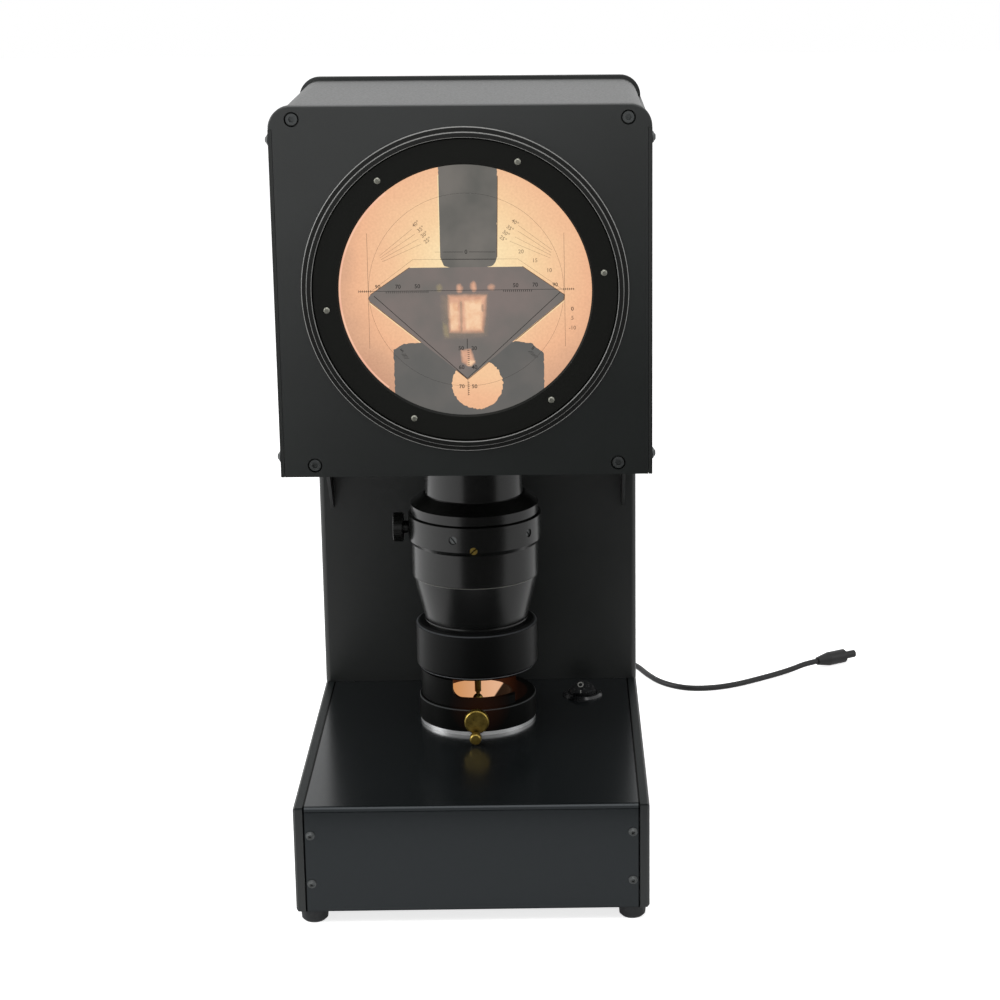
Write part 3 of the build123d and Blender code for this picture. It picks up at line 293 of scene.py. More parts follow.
def blend_colour(material, amount, colour):
    """Mixes a second colour into a finish, as far as an amount between 0 and 1 says."""
    tree = material.node_tree
    plain = shader_of(material).inputs["Base Color"]
    blend = add_node(tree, "ShaderNodeMix", {0: amount, 7: linear(colour)}, data_type="RGBA")
    if plain.is_linked:
        tree.links.new(plain.links[0].from_socket, blend.inputs[6])
    else:
        blend.inputs[6].default_value = plain.default_value[:]
    tree.links.new(blend.outputs[2], plain)


def worn(material, colour, size_mm, amount):
    """Large soft patches of a second colour, as handling and uneven coating leave."""
    tree = material.node_tree
    place = add_node(tree, "ShaderNodeTexCoord")
    cloud = add_node(
        tree,
        "ShaderNodeTexNoise",
        {"Vector": place.outputs["Object"], "Scale": per_metre(size_mm), "Detail": 2.0},
    )
    level = add_node(
        tree,
        "ShaderNodeMapRange",
        {"Value": cloud.outputs["Fac"], "From Min": 0.35, "From Max": 0.65, "To Min": 0.0, "To Max": amount},
    )
    blend_colour(material, level.outputs["Result"], colour)


# %% Finishes that change from place to place
def place_along(tree, direction):
    """How far along a direction each point of the surface lies."""
    place = add_node(tree, "ShaderNodeTexCoord").outputs["Object"]
    along = add_node(tree, "ShaderNodeVectorMath", {0: place, 1: direction}, operation="DOT_PRODUCT")
    return along.outputs["Value"]


def distance_from(tree, centre, axes):
    """The distance from a centre, counted only along the axes that are 1."""
    place = add_node(tree, "ShaderNodeTexCoord").outputs["Object"]
    moved = add_node(tree, "ShaderNodeVectorMath", {0: place, 1: centre}, operation="SUBTRACT")
    kept = add_node(tree, "ShaderNodeVectorMath", {0: moved.outputs["Vector"], 1: axes}, operation="MULTIPLY")
    reach = add_node(tree, "ShaderNodeVectorMath", {0: kept.outputs["Vector"]}, operation="LENGTH")
    return reach.outputs["Value"]


def painted_edge_lines(material, colour, bands, centre=(0, 0, 0), axes=(0, 0, 1), gloss=None):
    """Thin lines of painted light and shade in another colour, and another gloss if one is given, on a part's
    edges.

    Each band is a distance from the centre and a half width in millimetres, counted along the axes
    that are 1. Two axes give a ring, and one gives a straight line on both sides of the centre.
    """
    tree = material.node_tree
    reach = distance_from(tree, centre, axes)
    lines = None
    for middle, half in bands:
        here = add_node(tree, "ShaderNodeMath", {0: reach, 1: middle * MM, 2: half * MM}, operation="COMPARE")
        both = {0: here.outputs["Value"], 1: lines or 0.0}
        lines = add_node(tree, "ShaderNodeMath", both, operation="MAXIMUM").outputs["Value"]
    blend_colour(material, lines, colour)
    if gloss is not None:
        level = shader_of(material).inputs["Specular IOR Level"]
        ends = {"Value": lines, "To Min": level.default_value, "To Max": gloss}
        mixed = add_node(tree, "ShaderNodeMapRange", ends)
        tree.links.new(mixed.outputs["Result"], level)


def slanted_gloss(material, direction, start, end, gloss_start, gloss_end):
    """A gloss that changes evenly from one place to another, in millimetres along a direction."""
    tree = material.node_tree
    level = add_node(
        tree,
        "ShaderNodeMapRange",
        {"Value": place_along(tree, direction), "From Min": start * MM, "From Max": end * MM,
         "To Min": gloss_start, "To Max": gloss_end},
    )
    tree.links.new(level.outputs["Result"], shader_of(material).inputs["Specular IOR Level"])


def dress(material, *nodes):
    """Gives a material to CAD nodes, whose shape stays as it is."""
    for node in nodes:
        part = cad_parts[node]
        part.data.materials.clear()
        part.data.materials.append(material)


# %% [markdown]
# ## Black anodised plate
# The head's front and the base's sides are thick aluminium plates, bead blasted and dyed black. The
# blasting leaves a fine even grain that spreads light softly. The dye takes nearly all colour, so the
# plate is given a dark base colour and a middle roughness, and its grey comes from what it reflects.
# The head's plate has a painted sheen that grows towards its top left corner, and the sawn top edges
# of the base's sides reflect less than their faces, so the gloss of both changes from place to place.

# %% Bead-blasted anodised aluminium
# A soft even grey, with a grain that shows only close by.
blasted_plate = new_finish("bead_blasted_anodised_aluminium", "#121514", Roughness=0.45)
add_grain(blasted_plate, size_mm=0.9, depth_mm=0.02, roughness_low=0.40, roughness_high=0.50)
worn(blasted_plate, "#181C1B", size_mm=70, amount=0.6)
# A painted sheen: the gloss rises evenly towards the top left corner.
painted_sheen_towards_top_left = (-0.6, 0, 1)
slanted_gloss(blasted_plate, painted_sheen_towards_top_left, start=240, end=450, gloss_start=0.27, gloss_end=0.64)
dress(blasted_plate, "head_front_plate", "head_back_plate")

# The same skin on the base, with sawn edges that stay dark.
side_plate = new_finish("anodised_aluminium_side_plate", "#161A1A", Roughness=0.42, Specular_IOR_Level=0.38)
add_grain(side_plate, size_mm=0.9, depth_mm=0.015, roughness_low=0.38, roughness_high=0.48)
side_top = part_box("base_side_plate_left")[1].z / MM
slanted_gloss(side_plate, (0, 0, 1), side_top - 1.5, side_top - 0.5, gloss_start=0.44, gloss_end=0.12)
dress(side_plate, "base_side_plate_left", "base_side_plate_right")

# %% [markdown]
# ## Powder-coated sheet
# The base cover, column and head casing are steel sheet with a black powder coat. Powder melts and
# flows before it sets, which leaves a slight orange peel: bumps about a millimetre across. The base
# cover is the glossier of the two, and shows a soft reflection of the knobs. The narrow gaps between
# the cover and the plates round it hold no light, so black lines of painted shade on its edges stand for
# them.

# %% Powder coat
# A deep black with a cool sheen that mirrors the knobs softly.
base_coat = new_finish(
    "gloss_powder_coated_steel",
    "#131617",
    Roughness=0.2,
    Specular_IOR_Level=0.33,
    Specular_Tint=linear("#EFF7FD"),
)
add_grain(base_coat, size_mm=1.6, depth_mm=0.002, roughness_low=0.17, roughness_high=0.23)
cover_low, cover_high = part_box("base_cover")
painted_gap_shade = "#010101"
gap_half = 0.5
side_gap_shade = (cover_high.x / MM - 0.3, gap_half)
floor_gap_shade = (cover_low.z / MM + 0.2, gap_half)
# Painted shade: a black, dull line along each side of the cover and a black line along its foot.
painted_edge_lines(base_coat, painted_gap_shade, [side_gap_shade], axes=(1, 0, 0), gloss=0.02)
painted_edge_lines(base_coat, painted_gap_shade, [floor_gap_shade])
dress(base_coat, "base_cover")

# A flatter black, whose fine bumps spread the reflection of the room.
sheet_coat = new_finish("satin_powder_coated_steel", "#101312", Roughness=0.35)
add_grain(sheet_coat, size_mm=1.4, depth_mm=0.012, roughness_low=0.32, roughness_high=0.42)
dress(
    sheet_coat,
    "base_bottom_plate",
    "base_rear_panel",
    "column_channel",
    "column_back_panel",
    "gusset_left",
    "gusset_right",
    "head_top_cover",
    "head_side_panel_left",
    "head_side_panel_right",
    "head_bottom_plate",
    "mirror_bracket",
)

# %% [markdown]
# ## Turned and anodised rings
# The bezel, the lens barrel and the stage are turned on a lathe and then dyed black. The tool leaves
# fine grooves that run round the axis, so a highlight smears into a streak along it. Rings of noise
# would do for one piece; noise stretched along the axis works for all that stand upright. The rings
# that are gripped or face the lamp are blasted as well, and matt. Some edges get a thin pale line of
# painted highlight, placed by its height or its radius.

# %% Turned and blasted aluminium
cone_edge_highlight = (162.3, 0.35)
zoom_ring_lip_highlight = (105.7, 0.3)
zoom_ring_rim_highlight = (131.9, 0.3)
bezel_step_highlights = [(88.1, 0.22), (85.45, 0.2), (82.75, 0.16)]
along_axis = (0.1, 0.1, 3)

# Streaks of light that run up the barrel between black bands.
turned_black = new_finish("turned_anodised_aluminium", "#0D0E0D", Roughness=0.25, Specular_IOR_Level=0.36)
add_grain(turned_black, 0.4, depth_mm=0.001, roughness_low=0.23, roughness_high=0.27, stretch=along_axis)
# A thin painted highlight on the cone's edge.
painted_edge_lines(turned_black, "#5C5C58", [cone_edge_highlight])
dress(turned_black, "upper_tube", "barrel_collar", "lens_barrel", "lens_sleeve")

# Almost no reflection, so the ring reads by the painted highlights on its edges.
blasted_ring = new_finish("bead_blasted_anodised_ring", "#0C0D0D", Roughness=0.4, Specular_IOR_Level=0.09)
add_grain(blasted_ring, size_mm=0.5, depth_mm=0.004, roughness_low=0.34, roughness_high=0.44)
painted_edge_lines(blasted_ring, "#85878A", [zoom_ring_lip_highlight])
painted_edge_lines(blasted_ring, "#47494B", [zoom_ring_rim_highlight])
dress(blasted_ring, "zoom_ring", "lens_carriage", "condenser_holder")

# A soft black with thin painted highlights on its steps.
bezel_black = new_finish("turned_anodised_bezel", "#0D0E0C", Roughness=0.32, Specular_IOR_Level=0.25)
add_grain(bezel_black, size_mm=0.7, depth_mm=0.006, roughness_low=0.28, roughness_high=0.4)
bezel_low, bezel_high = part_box("screen_bezel")
painted_edge_lines(bezel_black, "#8E8E8C", bezel_step_highlights, centre=(bezel_low + bezel_high) / 2, axes=(1, 0, 1))
dress(bezel_black, "screen_bezel", "screen_lock_ring", "screen_carrier", "clamp_knob")

# The flattest black of all, round the lit screen.
flat_black = new_finish("matt_anodised_ring", "#0E0F0C", Roughness=0.5, Specular_IOR_Level=0.15)
add_grain(flat_black, size_mm=0.8, depth_mm=0.01, roughness_low=0.45, roughness_high=0.58)
dress(flat_black, "screen_retaining_ring")

# %% [markdown]
# ## The matt stage
# The stage is as black as the rings, but the lamp's light spills into its bore and over the sill of
# the window. The light comes from a glow, so the spill is a faint glow too. It is strongest round the
# middle of the window and fades to the right, where the wall is cut away.

# %% Stage with the lamp's light in it
stage_edge_highlight = (85.75, 0.3)
lens_axis_y = 11.0
stage_bore_radius = 29.9
bore_clearance = 0.2
sill_middle = (2, -20, 88)

# Matt black outside, with a trace of warm light inside.
stage_black = new_finish(
    "matt_anodised_stage",
    "#0A0B0A",
    Roughness=0.42,
    Specular_IOR_Level=0.05,
    Emission_Color=linear("#6E3A22"),
)
add_grain(stage_black, size_mm=0.5, depth_mm=0.004, roughness_low=0.36, roughness_high=0.46)
# A thin painted highlight on the flange's edge.
painted_edge_lines(stage_black, "#424444", [stage_edge_highlight])
stage_tree = stage_black.node_tree
from_axis = distance_from(stage_tree, at(0, lens_axis_y, 0), (1, 1, 0))
bore_reach = (stage_bore_radius + bore_clearance) * MM
in_bore = add_node(stage_tree, "ShaderNodeMath", {0: from_axis, 1: bore_reach}, operation="LESS_THAN")
bore_fade = add_node(
    stage_tree,
    "ShaderNodeMapRange",
    {"Value": place_along(stage_tree, (1, 0, 0)), "From Min": 8 * MM, "From Max": 25 * MM,
     "To Min": 0.3, "To Max": 0.03},
)
bore_level = add_node(
    stage_tree,
    "ShaderNodeMath",
    {0: in_bore.outputs["Value"], 1: bore_fade.outputs["Result"]},
    operation="MULTIPLY",
)
sill_fade = add_node(
    stage_tree,
    "ShaderNodeMapRange",
    {"Value": distance_from(stage_tree, at(*sill_middle), (1, 1, 1)), "From Min": 4 * MM, "From Max": 19 * MM,
     "To Min": 0.07, "To Max": 0.0},
)
stage_level = add_node(
    stage_tree,
    "ShaderNodeMath",
    {0: bore_level.outputs["Value"], 1: sill_fade.outputs["Result"]},
    operation="MAXIMUM",
)
stage_tree.links.new(stage_level.outputs["Value"], shader_of(stage_black).inputs["Emission Strength"])
dress(stage_black, "stage_flange", "stage_chamber")

# %% [markdown]
# ## Bare metals
# Metals take their colour from reflection alone: metallic at 1, and the base colour is the reflection.
# Polished steel is nearly smooth. Turned brass that has been handled is duller and browner than new.
# The slot of the small brass screw is too shallow to show, so a dark line stands for its shade.

# %% Steel and aluminium
# A pale ring that takes its greys from the room.
polished_steel = new_finish("polished_stainless_steel", "#FFFFFF", Metallic=1.0, Roughness=0.34)
add_grain(polished_steel, size_mm=2.0, depth_mm=0.003, roughness_low=0.3, roughness_high=0.38)
dress(polished_steel, "stage_trim_ring")

# Small dull glints.
bright_screw = new_finish("zinc_plated_screw_steel", "#77776F", Metallic=1.0, Roughness=0.4)
add_grain(bright_screw, size_mm=0.6, depth_mm=0.004, roughness_low=0.34, roughness_high=0.46)
dress(bright_screw, "ring_screws", "foot_screws")

# Dark heads with a slight metal sheen.
black_oxide = new_finish("black_oxide_screw_steel", "#4A4C4C", Metallic=0.8, Roughness=0.32)
add_grain(black_oxide, size_mm=0.6, depth_mm=0.006, roughness_low=0.28, roughness_high=0.45)
dress(
    black_oxide,
    "panel_screws",
    "side_panel_screws",
    "head_mount_screws",
    "head_cap_screws",
    "barrel_set_screws",
)

# Pale metal with faint lines along the bar, as rolling leaves it.
mill_aluminium = new_finish("mill_finish_aluminium", "#B9BBBC", Metallic=1.0, Roughness=0.4)
along_bar = (4, 4, 0.1)
add_grain(mill_aluminium, 0.6, depth_mm=0.01, roughness_low=0.32, roughness_high=0.5, stretch=along_bar)
dress(mill_aluminium, "frame_bars", "head_tie_bars", "heat_sink")

# %% Brass
# Deep yellow metal with browner patches.
aged_brass = new_finish("turned_aged_brass", "#8E7A3E", Metallic=1.0, Roughness=0.3)
add_grain(aged_brass, size_mm=0.8, depth_mm=0.01, roughness_low=0.25, roughness_high=0.45)
worn(aged_brass, "#5E4E22", size_mm=4, amount=0.7)
dress(aged_brass, "stone_holder", "lock_knob")

# Brighter brass, crossed by the dark line of its slot.
slotted_brass = new_finish("slotted_brass_screw", "#A8924E", Metallic=1.0, Roughness=0.3)
screw_low, screw_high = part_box("brass_screw")
across_slot = Vector((0.66, 0, -0.75))
slot_half = 0.38
slot_line = {
    0: place_along(slotted_brass.node_tree, across_slot),
    1: across_slot.dot((screw_low + screw_high) / 2),
    2: slot_half * MM,
}
in_slot = add_node(slotted_brass.node_tree, "ShaderNodeMath", slot_line, operation="COMPARE")
blend_colour(slotted_brass, in_slot.outputs["Value"], "#14110A")
dress(slotted_brass, "brass_screw")

# Brass in the lamp's light, seen against the glow behind it.
lit_post = new_finish("lamp_lit_brass_post", "#7A5A2C", Metallic=1.0, Roughness=0.4)
dress(lit_post, "stone_post")

# %% [markdown]
# ## Rubber and plastics
# Rubber feet and the PVC jacket of the lead are matt and almost black. The switch is moulded in a
# glossier plastic. A faint grain keeps them from looking like one flat colour.

# %% Rubber, PVC and moulded plastic
# Matt, with a grain that breaks up its dark grey.
foot_rubber = new_finish("moulded_foot_rubber", "#16181A", Roughness=0.6, Specular_IOR_Level=0.35)
add_grain(foot_rubber, size_mm=1.0, depth_mm=0.03, roughness_low=0.52, roughness_high=0.7)
dress(foot_rubber, "rubber_feet")

# A soft line of light along the lead.
lead_jacket = new_finish("extruded_pvc_jacket", "#121213", Roughness=0.42, Specular_IOR_Level=0.35)
add_grain(lead_jacket, size_mm=1.2, depth_mm=0.02, roughness_low=0.36, roughness_high=0.5)
dress(lead_jacket, "cable_gland", "plug")
lead_curve.materials.append(lead_jacket)

# A clear highlight on the edge of the rocker.
switch_plastic = new_finish("moulded_switch_plastic", "#121314", Roughness=0.22)
add_grain(switch_plastic, size_mm=1.4, depth_mm=0.001, roughness_low=0.18, roughness_high=0.3)
dress(switch_plastic, "switch_housing", "switch_rocker")

# Green lacquer over copper, a little darker in patches.
board_mask = new_finish("glass_fibre_circuit_board", "#1E5A34", Roughness=0.35)
worn(board_mask, "#174528", size_mm=3, amount=1.0)
dress(board_mask, "lamp_board", "power_board")

# %% [markdown]
# ## Glass and mirror
# The lenses are coated glass. The mirror is silvered on its front, so it has no green edge in front
# of the silver and a plain metal with almost no roughness stands for it.

# %% Glass and mirror
# Clear, with a faint green cast from its coating.
lens_glass = new_finish(
    "coated_optical_glass", "#EAF2F0", Roughness=0.02, IOR=1.52, Transmission_Weight=1.0
)
dress(lens_glass, "objective_lens", "zoom_lens", "condenser_lens")
# A plain bright mirror.
silver = new_finish("front_silvered_mirror", "#E8EAEA", Metallic=1.0, Roughness=0.03)
dress(silver, "mirror")

# %% [markdown]
# ## The lit screen
# The screen is frosted glass with light thrown on its back. It could be a see-through material with a
# lamp behind it, but the light would take long to settle. A glowing surface gives the same look: the
# colour runs from pale yellow near the middle to a warm pink at the rim, with the fine speckle of the
# frosting over it.

# %% Frosted screen glow
screen_low, screen_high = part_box("screen_glass")
screen_centre = (screen_low + screen_high) / 2
screen_face = screen_low.y
window_radius = 68.2
brightest_place = (5, 0, 14)
field_start = 8
field_end = 108
cloud_size = 22
cloud_reach = 16
speckle_size = 1.3


def new_glow(name):
    """A material that gives light and keeps a faint gloss."""
    return new_finish(name, "#000000", Roughness=0.4, Specular_IOR_Level=0.15, Emission_Strength=1.0)


def warm_field(name, stops, speckle):
    """Warm light that changes with the distance from its brightest place, with the speckle of frosting."""
    material = new_glow(name)
    tree = material.node_tree
    place = add_node(tree, "ShaderNodeTexCoord").outputs["Object"]
    away = distance_from(tree, screen_centre + at(*brightest_place), (1, 1, 1))
    cloud = add_node(
        tree,
        "ShaderNodeTexNoise",
        {"Vector": place, "Scale": per_metre(cloud_size), "Detail": 2.0},
    )
    uneven = add_node(
        tree,
        "ShaderNodeMath",
        {0: cloud.outputs["Fac"], 1: cloud_reach * MM, 2: away},
        operation="MULTIPLY_ADD",
    )
    level = add_node(
        tree,
        "ShaderNodeMapRange",
        {"Value": uneven.outputs["Value"], "From Min": field_start * MM, "From Max": field_end * MM},
    )
    ramp = add_node(tree, "ShaderNodeValToRGB", {"Fac": level.outputs["Result"]})
    while len(ramp.color_ramp.elements) < len(stops):
        ramp.color_ramp.elements.new(0.5)
    for element, (distance, colour) in zip(ramp.color_ramp.elements, stops):
        element.position = distance / (field_end - field_start)
        element.color = linear(colour)
    grain = add_node(
        tree,
        "ShaderNodeTexNoise",
        {"Vector": place, "Scale": per_metre(speckle_size), "Detail": 4.0},
    )
    dots = add_node(
        tree,
        "ShaderNodeMapRange",
        {"Value": grain.outputs["Fac"], "From Min": 0.3, "From Max": 0.7,
         "To Min": 1 - speckle, "To Max": 1 + speckle},
    )
    lit = add_node(
        tree,
        "ShaderNodeVectorMath",
        {0: ramp.outputs["Color"], "Scale": dots.outputs["Result"]},
        operation="SCALE",
    )
    tree.links.new(lit.outputs["Vector"], shader_of(material).inputs["Emission Color"])
    return material


field_stops = [
    (0, "#FBE8BB"),
    (16, "#FADFB0"),
    (32, "#F6D0A2"),
    (48, "#F2C299"),
    (62, "#EEB791"),
    (74, "#D9A888"),
    (84, "#CB9A7E"),
]
# An even warm light that pales towards the top and never looks like a flat print.
field_glow = warm_field("frosted_screen_glow", field_stops, 0.06)
dress(field_glow, "screen_glass")
print("screen centre in mm:", [round(c / MM, 1) for c in screen_centre])

# %% [markdown]
# ## The stone's shadow
# The picture on the screen is a shadow: the upper holder comes down from above, the stone is a wide
# diamond shape in the middle, and the lower holder stands below, with a round hole in it that lets
# light through. Each shadow is a flat sheet a twentieth of a millimetre thick in front of the glass.
# It could be painted in the glass's material, but outlines in millimetres are easier to draw and check.

# %% Flat shapes on the screen
layer_step = 0.05


def on_screen(x, z, layer):
    """A point on the screen, in millimetres from its centre, on a numbered layer in front of the glass."""
    return Vector((screen_centre.x + x * MM, screen_face - layer * layer_step * MM, screen_centre.z + z * MM))


def new_piece(name, mesh, material, body):
    """Puts a mesh in the scene as a piece of the object."""
    piece = bpy.data.objects.new(name, mesh)
    bpy.context.scene.collection.objects.link(piece)
    mesh.materials.clear()
    mesh.materials.append(material)
    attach(piece, body)


def piece_of(name, form, material, body):
    """Makes a mesh of a form under construction, and a piece of that mesh."""
    mesh = bpy.data.meshes.new(name)
    form.to_mesh(mesh)
    form.free()
    new_piece(name, mesh, material, body)


def face_front(form):
    """Turns every face of a form to the front."""
    for face in form.faces:
        face.normal_update()
        if face.normal.y > 0:
            face.normal_flip()


def flat_sheet(name, outlines, layer, material, body):
    """One mesh of flat outlines that all face the front."""
    sheet = bmesh.new()
    for outline in outlines:
        sheet.faces.new([sheet.verts.new(on_screen(x, z, layer)) for x, z in outline])
    face_front(sheet)
    bmesh.ops.triangulate(sheet, faces=sheet.faces[:])
    piece_of(name, sheet, material, body)


def arc(centre_x, centre_z, radius, start, end, count):
    """Points along an arc, between two angles in degrees."""
    angles = [math.radians(start + (end - start) * index / (count - 1)) for index in range(count)]
    return [(centre_x + radius * math.cos(angle), centre_z + radius * math.sin(angle)) for angle in angles]


def ragged(outline, step, amount, seed):
    """The same closed outline with its long edges divided and made slightly uneven."""
    points = []
    for index, (start, end) in enumerate(zip(outline, outline[1:] + outline[:1])):
        run = math.hypot(end[0] - start[0], end[1] - start[1])
        count = max(1, round(run / step))
        for part in range(count):
            x = start[0] + (end[0] - start[0]) * part / count
            z = start[1] + (end[1] - start[1]) * part / count
            wander = noise.noise(Vector((x * 0.9, z * 0.9, seed)))
            rise = noise.noise(Vector((x * 0.9, z * 0.9, seed + 7)))
            keep = 0 if part == 0 and run > 3 * step else 1
            points.append((x + wander * amount * keep, z + rise * amount * keep))
    return points


# %% Shadow outlines
rod_left = -13.3
rod_right = 18.1
rod_foot = 13.6
shadow_reach = window_radius + 0.6


def reach_z(x):
    """The height of the shadows' outer edge above an x, a little past the window's rim."""
    return math.sqrt(shadow_reach ** 2 - x ** 2)


def past_rim(start_x, start_z, end_x, end_z, count):
    """Points along the shadows' outer edge from one place to another."""
    start = math.degrees(math.atan2(start_z, start_x))
    end = math.degrees(math.atan2(end_z, end_x))
    return arc(0, 0, shadow_reach, start, end, count)


upper_holder = (
    past_rim(rod_right, reach_z(rod_right), rod_left, reach_z(rod_left), 9)
    + [(rod_left + 0.1, 18.2), (rod_left + 0.9, 15.6), (rod_left + 2.3, rod_foot), (-6.0, 12.4)]
    + [(8.0, 12.4), (rod_right - 3.2, rod_foot), (rod_right - 1.7, 15.6), (rod_right - 0.9, 18.2)]
)
stone = [
    (-29.8, 12.9),
    (30.9, 13.1),
    (53.2, -2.4),
    (52.9, -5.0),
    (0.4, -48.3),
    (-51.6, -5.2),
    (-52.4, -3.5),
    (-51.2, -1.6),
]
block_left = -39.2
block_right = 41.8
block_shoulder = -31.7
lower_holder = (
    [(-39.5, block_shoulder), (-33.8, -28.5), (-24.0, -27.9), (-20.0, -29.0), (0.4, -46.0), (22.0, -29.0)]
    + [(26.3, -27.6), (34.7, -28.6), (block_right, -34.4)]
    + past_rim(block_right, -reach_z(block_right), block_left, -reach_z(block_left), 24)
)
light_hole = arc(5.6, -51.2, 13.8, 0, 360, 49)[:-1]

# %% Shadow sheets
def shadow_tone(name, low, high, patch_mm=26):
    """A grey shadow with soft cloudy patches, as stray light leaves."""
    material = new_glow(name)
    tree = material.node_tree
    place = add_node(tree, "ShaderNodeTexCoord").outputs["Object"]
    patches = {"Vector": place, "Scale": per_metre(patch_mm), "Detail": 3.0}
    cloud = add_node(tree, "ShaderNodeTexNoise", patches)
    ramp = add_node(tree, "ShaderNodeValToRGB", {"Fac": cloud.outputs["Fac"]})
    for element, position, colour in zip(ramp.color_ramp.elements, (0.35, 0.65), (low, high)):
        element.position = position
        element.color = linear(colour)
    tree.links.new(ramp.outputs["Color"], shader_of(material).inputs["Emission Color"])
    return material


# Three greys that differ a little, each uneven enough to look thrown on frosting, not painted.
rod_shadow = shadow_tone("projected_rod_shadow", "#605F5B", "#74706B")
block_shadow = shadow_tone("projected_block_shadow", "#5F5F5D", "#6A6764")
stone_shadow = shadow_tone("projected_stone_shadow", "#716D69", "#7F7470")
hole_stops = [(0, "#F4C79C"), (60, "#F4C79C"), (74, "#F0BA93"), (95, "#E2AC85")]
hole_glow = warm_field("projected_hole_light", hole_stops, 0.04)
flat_sheet("shadow_upper_holder", [ragged(upper_holder, 1.2, 0.3, 3)], 1, rod_shadow, "stand")
flat_sheet("shadow_lower_holder", [ragged(lower_holder, 1.2, 0.6, 5)], 1, block_shadow, "stand")
flat_sheet("light_in_hole", [ragged(light_hole, 1.0, 0.9, 9)], 2, hole_glow, "stand")
flat_sheet("shadow_stone", [ragged(stone, 4.0, 0.1, 2)], 4, stone_shadow, "stand")

# %% [markdown]
# ## Edges of the shadows
# A lens bends the colours of light by different amounts, so a shadow's edge has a thin brown line, and
# beside it a line that is brighter than the field. Each is a ribbon of quads that follows the outline.

# %% Fringes
def ribbon(points, width):
    """Quads that follow a line with an even width."""
    quads = []
    for start, end in zip(points, points[1:]):
        run = math.hypot(end[0] - start[0], end[1] - start[1])
        side_x = -(end[1] - start[1]) / run * width / 2
        side_z = (end[0] - start[0]) / run * width / 2
        quads.append(
            [
                (start[0] + side_x, start[1] + side_z),
                (start[0] - side_x, start[1] - side_z),
                (end[0] - side_x, end[1] - side_z),
                (end[0] + side_x, end[1] + side_z),
            ]
        )
    return quads


def ribbons(lines, width):
    """The quads of several lines of one width."""
    return [quad for line in lines for quad in ribbon(line, width)]


# Thin warm lines that make the shadows look focused by a lens.
brown_fringe = shadow_tone("brown_shadow_edge", "#5E4230", "#7A5A42", 6)
bright_fringe = shadow_tone("bright_shadow_edge", "#F6D6A6", "#FBE6B8", 6)
rim_fringe = shadow_tone("pink_rim_light", "#F2B79C", "#F9C6A8", 12)
brown_lines = ribbon([(rod_right + 0.1, 62.0), (rod_right - 0.8, 18.4)], 0.36)
brown_lines += ribbon([(-29.8, 13.1), (-51.2, -1.5)], 0.3)
brown_lines += ribbon([(30.9, 13.2), (53.4, -2.4), (53.1, -5.1), (26.6, -27.1)], 0.36)
brown_lines += ribbon([(-51.7, -5.4), (-24.4, -27.8)], 0.34)
brown_lines += ribbon([(12.2, -38.9), (0.4, -48.6), (-5.9, -43.2)], 0.34)
bright_lines = ribbon([(rod_left - 0.2, 62.5), (rod_left - 0.1, 18.4), (rod_left + 1.9, rod_foot - 0.2)], 0.5)
bright_lines += ribbons([[(rod_left + 2.0, 13.3), (-29.6, 13.3)], [(15.2, 13.5), (30.9, 13.6)]], 0.34)
bright_lines += ribbons([[(-51.9, -5.9), (-24.9, -28.0)], [(53.2, -5.7), (27.0, -27.3)]], 0.4)
rim_lines = ribbon(arc(0, 0, 67.6, 128, 231, 60), 0.9)
flat_sheet("fringe_brown", brown_lines, 5, brown_fringe, "stand")
flat_sheet("fringe_bright", bright_lines, 3, bright_fringe, "stand")
flat_sheet("fringe_rim", rim_lines, 1, rim_fringe, "stand")

# %% [markdown]
# ## Light through the stone
# A little light finds its way through the middle of the stone and falls as soft bright patches. A mesh
# has sharp edges, so each patch is a full middle with a margin round it. An attribute on its points
# says how full the light is, and the material reads it as its transparency.

# %% Light patches
def soft_light(name, low, high):
    """Light whose strength comes from the fade attribute of its own points."""
    material = shadow_tone(name, low, high, 4)
    tree = material.node_tree
    fade = add_node(tree, "ShaderNodeAttribute", attribute_name="fade")
    tree.links.new(fade.outputs["Fac"], shader_of(material).inputs["Alpha"])
    return material


def feathered(name, outline, margin, layer, material, full):
    """A sheet that is full inside its outline and fades to nothing over a margin round it."""
    middle_x = sum(x for x, z in outline) / len(outline)
    middle_z = sum(z for x, z in outline) / len(outline)
    sheet = bmesh.new()
    fade = sheet.verts.layers.float.new("fade")
    rings = []
    for reach, level in ((-margin * 0.6, full), (0.0, full * 0.6), (margin * 0.6, 0.0)):
        ring = []
        for x, z in outline:
            grow = 1 + reach / math.hypot(x - middle_x, z - middle_z)
            grown_x = middle_x + (x - middle_x) * grow
            grown_z = middle_z + (z - middle_z) * grow
            spot = sheet.verts.new(on_screen(grown_x, grown_z, layer))
            spot[fade] = level
            ring.append(spot)
        rings.append(ring)
    sheet.faces.new(rings[0])
    for inner, outer in zip(rings, rings[1:]):
        for index in range(len(inner)):
            sheet.faces.new([inner[index - 1], inner[index], outer[index], outer[index - 1]])
    face_front(sheet)
    bmesh.ops.triangulate(sheet, faces=sheet.faces[:])
    piece_of(name, sheet, material, "stand")


# %% [markdown]
# Each patch in the table has its corners, and these are divided at an even step, so that the margin
# comes out round. After the step stand the width of the margin, the layer in front of the glass, the
# light, and how full that light is. The four spots under the stone's top are ovals.

